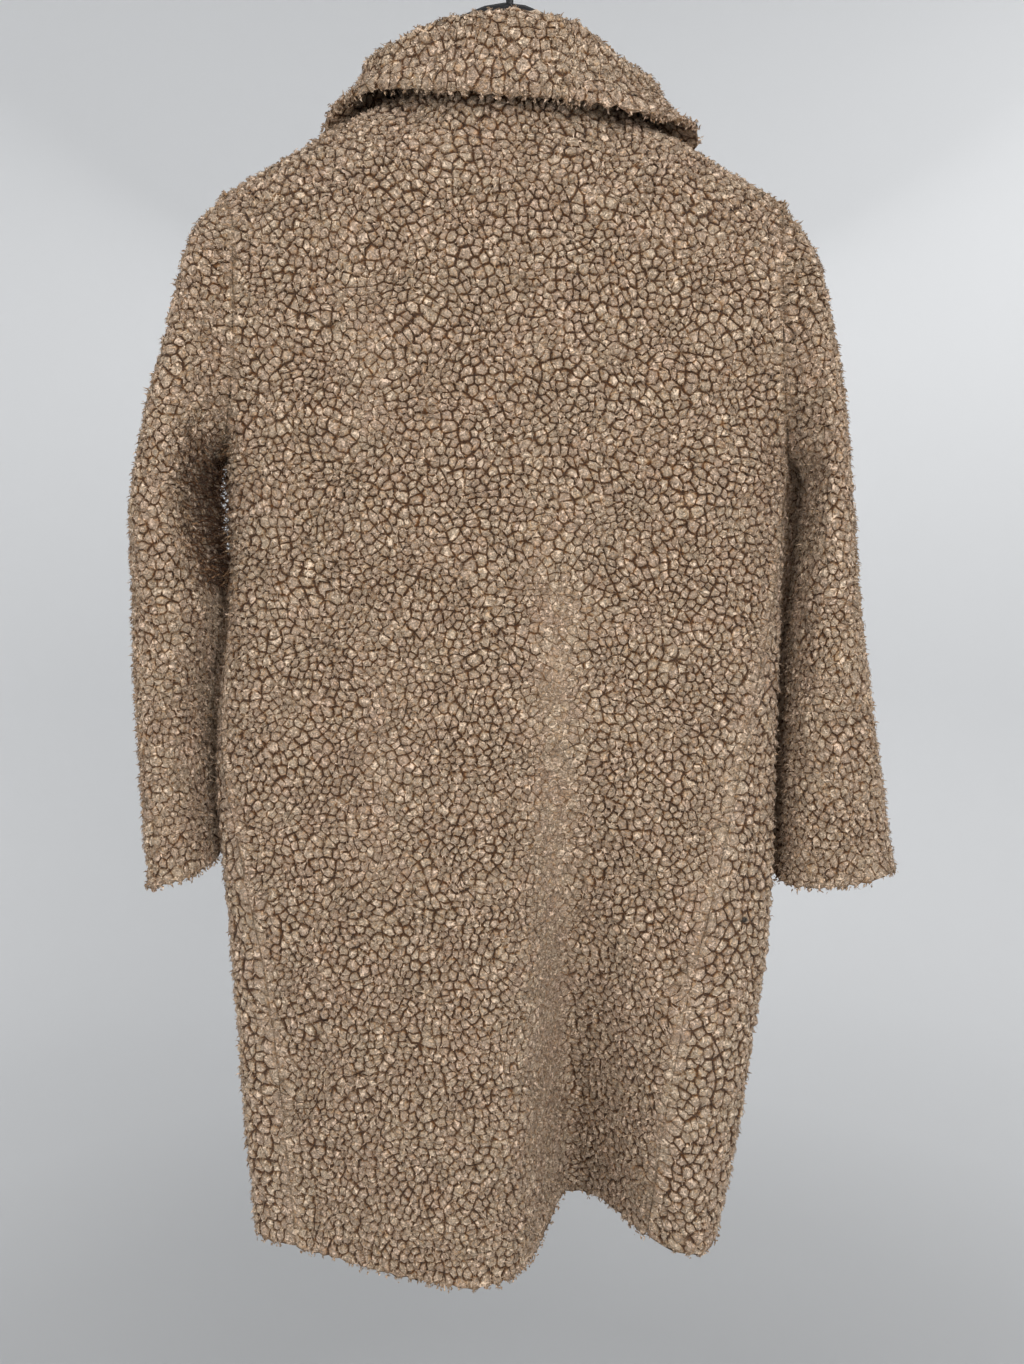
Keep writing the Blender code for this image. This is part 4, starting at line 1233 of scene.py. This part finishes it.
def polyester_teddy_pile():
    made, tree, shader, place = new_finish("polyester_teddy_pile", Roughness=0.95,
                                           Specular_IOR_Level=0.12, Sheen_Weight=0.12,
                                           Sheen_Roughness=0.6)
    depth = add(tree, "Attribute", {"attribute_name": "pile"}).outputs["Fac"]
    tone = add(tree, "Attribute", {"attribute_name": "tone"}).outputs["Fac"]
    curl = add(tree, "TexNoise", Vector=place, Scale=CURL_PER_METRE, Detail=1.5, Roughness=0.6,
               Distortion=1.6)
    fibre = add(tree, "TexNoise", Vector=place, Scale=FIBRE_PER_METRE, Detail=1.0, Distortion=0.8)
    patch = add(tree, "TexNoise", Vector=place, Scale=PATCH_PER_METRE, Detail=2.0)
    off = add(tree, "Math", {"operation": "SUBTRACT"}, _0=curl, _1=0.5)
    off = add(tree, "Math", {"operation": "ABSOLUTE"}, _0=off)
    strand = add(tree, "MapRange", Value=off, From_Min=0.0, From_Max=0.12, To_Min=0.0, To_Max=1.0)
    ragged = add(tree, "Math", {"operation": "MULTIPLY_ADD"}, _0=curl, _1=1.0, _2=-0.5)
    torn = add(tree, "Math", {"operation": "ADD"}, _0=depth, _1=ragged)
    base = add(tree, "ValToRGB", stops=PILE_TAN_AND_PAINTED_SHADE, Fac=torn)
    fine = add(tree, "MapRange", Value=fibre, From_Min=0.3, From_Max=0.7, To_Min=0.66, To_Max=1.27)
    lot = add(tree, "MapRange", Value=tone, To_Min=0.93, To_Max=1.07)
    split = add(tree, "MapRange", Value=strand, To_Min=0.78, To_Max=1.14)
    both = add(tree, "Math", {"operation": "MULTIPLY"}, _0=fine, _1=lot)
    both = add(tree, "Math", {"operation": "MULTIPLY"}, _0=both, _1=split)
    lit = add(tree, "VectorMath", {"operation": "SCALE"}, _0=base, Scale=both)
    warm = add(tree, "Math", {"operation": "MULTIPLY_ADD"}, _0=tone, _1=0.5, _2=patch)
    tint = add(tree, "ValToRGB", stops=TINT_STOPS, Fac=warm)
    tinted = add(tree, "Mix", {"data_type": "RGBA", "blend_type": "MULTIPLY"}, _0=1.0,
                 _6=lit, _7=tint).outputs[2]
    off = add(tree, "VectorMath", {"operation": "DISTANCE"}, _0=place, _1=LINT_PLACE)
    clean = add(tree, "MapRange", Value=off.outputs["Value"], From_Min=LINT_SIZE * 0.5,
                From_Max=LINT_SIZE, To_Min=0.12, To_Max=1.0)
    linted = add(tree, "VectorMath", {"operation": "SCALE"}, _0=tinted, Scale=clean)
    height = add(tree, "Math", {"operation": "MULTIPLY_ADD"}, _0=fibre, _1=0.5, _2=strand)
    bump = add(tree, "Bump", Height=height, Strength=1.0, Distance=1.2 * MM)
    set_sockets(shader, Base_Color=linted, Normal=bump)
    return made


pile_finish = polyester_teddy_pile()
print(pile_finish.name, "has", len(pile_finish.node_tree.nodes), "nodes")

# %% [markdown]
# The inside of unlined teddy fur is a knitted polyester backing, in the pile's colour: fine
# ribs along the drop, 1.6 mm apart here, which is about twice the real knit's so that it shows.

# %% Knitted backing
RIB_PER_METRE = 1 / (1.6 * MM)
CLOUD_PER_METRE = 6 / (100 * MM)     # six lighter and darker places in 100 mm


def knitted_backing():
    made, tree, shader, place = new_finish("knitted_polyester_backing", Roughness=0.9,
                                           Specular_IOR_Level=0.2, Sheen_Weight=0.1)
    ribs = add(tree, "TexWave", {"bands_direction": "X"}, Vector=place, Scale=RIB_PER_METRE / 2,
               Distortion=1.5, Detail=1.0).outputs["Fac"]
    cloudy = add(tree, "TexNoise", Vector=place, Scale=CLOUD_PER_METRE, Detail=2.0)
    both = add(tree, "Math", {"operation": "MULTIPLY_ADD"}, _0=ribs, _1=0.4, _2=cloudy)
    base = add(tree, "ValToRGB", stops=[(0.35, "8F755E"), (0.9, "B39A82")], Fac=both)
    bump = add(tree, "Bump", Height=ribs, Strength=0.4, Distance=0.4 * MM)
    set_sockets(shader, Base_Color=base, Normal=bump)
    return made


backing_finish = knitted_backing()
print(backing_finish.name, "has", len(backing_finish.node_tree.nodes), "nodes")

# %% Make every piece of cloth
HEM_TURN = 34 * MM          # how far the fur is turned up inside an open edge
ON_EDGE = 0.5 * MM          # a point this near an open edge is on it
FAR = 1.0                   # metres, farther than any seam
WARP_LENGTH, DRIFT_LENGTH = 60 * MM, 70 * MM
# Clumps are spacing millimetres apart and longer than they are wide by stretch. Each has tufts,
# gaps depth millimetres deep, of which broken is the share that is shallow, and a lean, also in
# millimetres. Seams and hems name the edges that are sewn down flat and those left open.
Piece = namedtuple("Piece", "spacing stretch seams hems tufts depth lean calm broken")
PIECES = {
    "back": Piece(8.0, 1.0, ("left", "right"), ("low",), 5.6, 4.0, 0.9, 0.04, 0.12),
    "front_left": Piece(10.0, 1.05, ("left",), ("low", "right"), 3.0, 4.0, 0.9, 0.04, 0.12),
    "front_right": Piece(10.0, 1.05, ("left",), ("low", "right"), 3.0, 4.0, 0.9, 0.04, 0.12),
    "sleeve_left": Piece(7.6, 1.15, (), ("low",), 6.5, 3.6, 1.3, 0.12, 0.25),
    "sleeve_right": Piece(7.6, 1.15, (), ("low",), 6.5, 3.6, 1.3, 0.12, 0.25),
    "collar": Piece(7.4, 1.3, (), ("low", "left", "right", "top"), 9, 3.0, 0.9, 0.16, 0.2),
}
EDGES = {"top": np.s_[0, :], "low": np.s_[-1, :], "left": np.s_[:, 0], "right": np.s_[:, -1]}


def gap_to(cloth, names, places):
    """The distance from flat places to some of a piece's edges."""
    gap = np.full(len(places), FAR)
    for name in names:
        gap = np.minimum(gap, nearest_on(cloth.grid[EDGES[name]], places, closed=False)[1])
    return gap


def make_cloth(name):
    cloth, plan = cloths[name], PIECES[name]
    squeeze = np.array([1, 1 / plan.stretch])
    warp, drift = make_warp(WARP_LENGTH), make_drift(DRIFT_LENGTH)
    border = unwarped(with_steps(cloth.border * squeeze, BORDER_STEP), warp)
    cells = share_out(border, plan.spacing * MM)
    cells = cells._replace(verts=(cells.verts + warp(cells.verts)) / squeeze,
                           centres=(cells.centres + warp(cells.centres)) / squeeze)
    calm = []
    for places in (cells.verts, cells.centres):
        at = look_up(cloth, places)[0]
        seam = np.where(at[:, 2] < FELT_BELOW, gap_to(cloth, plan.seams, places), FAR)
        calm.append(calm_at(name, at, seam, drift(places), plan.calm))
    furred = gap_to(cloth, plan.hems, cells.centres) < (FAR if name == "collar" else HEM_TURN)
    open_edge = gap_to(cloth, plan.hems, cells.verts) < ON_EDGE
    mound = raise_pile(cloth, plan, cells, *calm, furred, open_edge)
    mesh = bpy.data.meshes.new(name + "_fur")
    mesh.from_pydata(mound.verts.tolist(), [], mound.faces)
    set_values(mesh, "pile", mound.pile)
    set_values(mesh, "tone", mound.tone)
    mesh.materials.append(pile_finish)
    mesh.materials.append(backing_finish)
    mesh.polygons.foreach_set("material_index", mound.material)
    mesh.shade_smooth()
    mesh.update()
    piece = link_piece(name + "_fur", mesh)
    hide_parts(name)
    tufts = link_piece(name + "_tufts", grow_tufts(name + "_tufts", mound, plan.tufts))
    tufts.data.materials.append(pile_finish)
    counts = triangles_in(mesh), triangles_in(tufts.data)
    print(f"{name}: {len(mound.tops)} clumps, {counts[0]} + {counts[1]} triangles")
    return sum(counts)


print("cloth triangles in all:", sum(make_cloth(name) for name in PIECES))

# %% [markdown]
# ## The hanger
# It is one moulding of black ABS, with a soft shine, a moulding grain and a few places worn
# duller. The grain is drawn 1.1 mm wide, several times coarser than the real one, so that it
# shows. The hanger's form in the frame is right, so only its finish is added.

# %% Black moulded plastic
GRAIN_PER_METRE = 9 / (10 * MM)
WORN_PER_METRE = 1 / (25 * MM)


def black_moulded_plastic():
    made, tree, shader, place = new_finish("black_moulded_abs", IOR=1.53)
    grain = add(tree, "TexNoise", Vector=place, Scale=GRAIN_PER_METRE, Detail=2.0)
    worn = add(tree, "TexNoise", Vector=place, Scale=WORN_PER_METRE, Detail=3.0)
    base = add(tree, "ValToRGB", stops=[(0.35, "0B0B0D"), (0.7, "131316")], Fac=worn)
    rough = add(tree, "MapRange", Value=worn, To_Min=0.4, To_Max=0.6)
    bump = add(tree, "Bump", Height=grain, Strength=0.12, Distance=0.1 * MM)
    set_sockets(shader, Base_Color=base, Roughness=rough, Normal=bump)
    return made


plastic_finish = black_moulded_plastic()
for slot in bpy.data.objects["hanger"].material_slots:
    slot.material = plastic_finish
print(plastic_finish.name, "has", len(plastic_finish.node_tree.nodes), "nodes")

# %% [markdown]
# ## The studio
# A round pale room with no corners: the floor curves up into the wall, so that no line shows
# behind the coat from any side. Large soft lights fill it, the main one above the viewer's right
# shoulder, and one lights the wall alone.

# %% Room and lights
FLOOR_Z = -1.95
ROOM_RADIUS, COVE_RADIUS, WALL_TOP = 3.0, 0.9, 2.2
COVE_STEPS = 12
PAINT_REACH = 4.5           # metres from the middle of the floor to the last stop
# the paint darkens towards the middle of the floor and low on the wall: painted shade
PAINT_AND_PAINTED_SHADE_STOPS = [(0.17, "B2B3B4"), (0.26, "BDBEBF"), (0.37, "CFD0D1"), (0.69, "EAEBEC"),
               (0.95, "F1F2F3")]
SPIN_STEPS = 96


def pale_paint_with_painted_shade():
    """Matt pale paint, darker round the middle of the floor and low on the wall: painted shade."""
    made, tree, shader, place = new_finish("matt_pale_paint_painted_shade", Roughness=0.9,
                                           Specular_IOR_Level=0.1)
    off = add(tree, "VectorMath", {"operation": "DISTANCE"}, _0=place, _1=(0, 0, FLOOR_Z))
    share = add(tree, "MapRange", Value=off.outputs["Value"], From_Max=PAINT_REACH)
    set_sockets(shader, Base_Color=add(tree, "ValToRGB", stops=PAINT_AND_PAINTED_SHADE_STOPS, Fac=share))
    return made


def spin_profile():
    bpy.ops.mesh.spin(steps=SPIN_STEPS, angle=2 * math.pi, center=(0, 0, 0), axis=(0, 0, 1))
    bpy.ops.mesh.select_all(action="SELECT")
    bpy.ops.mesh.remove_doubles(threshold=1 * MM)
    bpy.ops.mesh.normals_make_consistent(inside=True)


profile = [(0.0, FLOOR_Z)]
for step in range(COVE_STEPS + 1):
    a = math.radians(90 * step / COVE_STEPS)
    profile.append((ROOM_RADIUS - COVE_RADIUS + COVE_RADIUS * math.sin(a),
                    FLOOR_Z + COVE_RADIUS * (1 - math.cos(a))))
profile.append((ROOM_RADIUS, WALL_TOP))
room_mesh = bpy.data.meshes.new("room")
room_mesh.from_pydata([(x, 0, z) for x, z in profile],
                      [(i, i + 1) for i in range(len(profile) - 1)], [])
room = put_in_scene("room", room_mesh)
edit_whole(room, spin_profile)
room.data.shade_smooth()
room.data.materials.append(pale_paint_with_painted_shade())


def soft_light(name, place, target, size, watts):
    data = bpy.data.lights.new(name, "AREA")
    data.shape = "DISK"
    data.size = size
    data.energy = watts
    lamp = put_in_scene(name, data)
    lamp.visible_camera = False
    lamp.location = place
    lamp.rotation_euler = (Vector(target) - Vector(place)).to_track_quat("-Z", "Y").to_euler()


CHEST = (0.0, 0.0, -0.6)
soft_light("key", (0.8, -2.2, 0.3), CHEST, 1.3, 32)
soft_light("fill", (-1.6, -1.9, -0.3), CHEST, 1.4, 12)
soft_light("back_fill", (0.0, 2.3, 1.2), CHEST, 1.8, 22)
soft_light("backdrop", (1.6, 0.9, 0.7), (1.3, 3.0, -0.9), 1.8, 9)
world = bpy.data.worlds.new("room_light")
world.use_nodes = True
world.node_tree.nodes["Background"].inputs["Color"].default_value = colour("F1F2F4")
world.node_tree.nodes["Background"].inputs["Strength"].default_value = 0.45
bpy.context.scene.world = world
bpy.context.scene.view_settings.view_transform = "Standard"
print(f"a room {2 * ROOM_RADIUS} m across, {-FLOOR_Z} m below the hook")
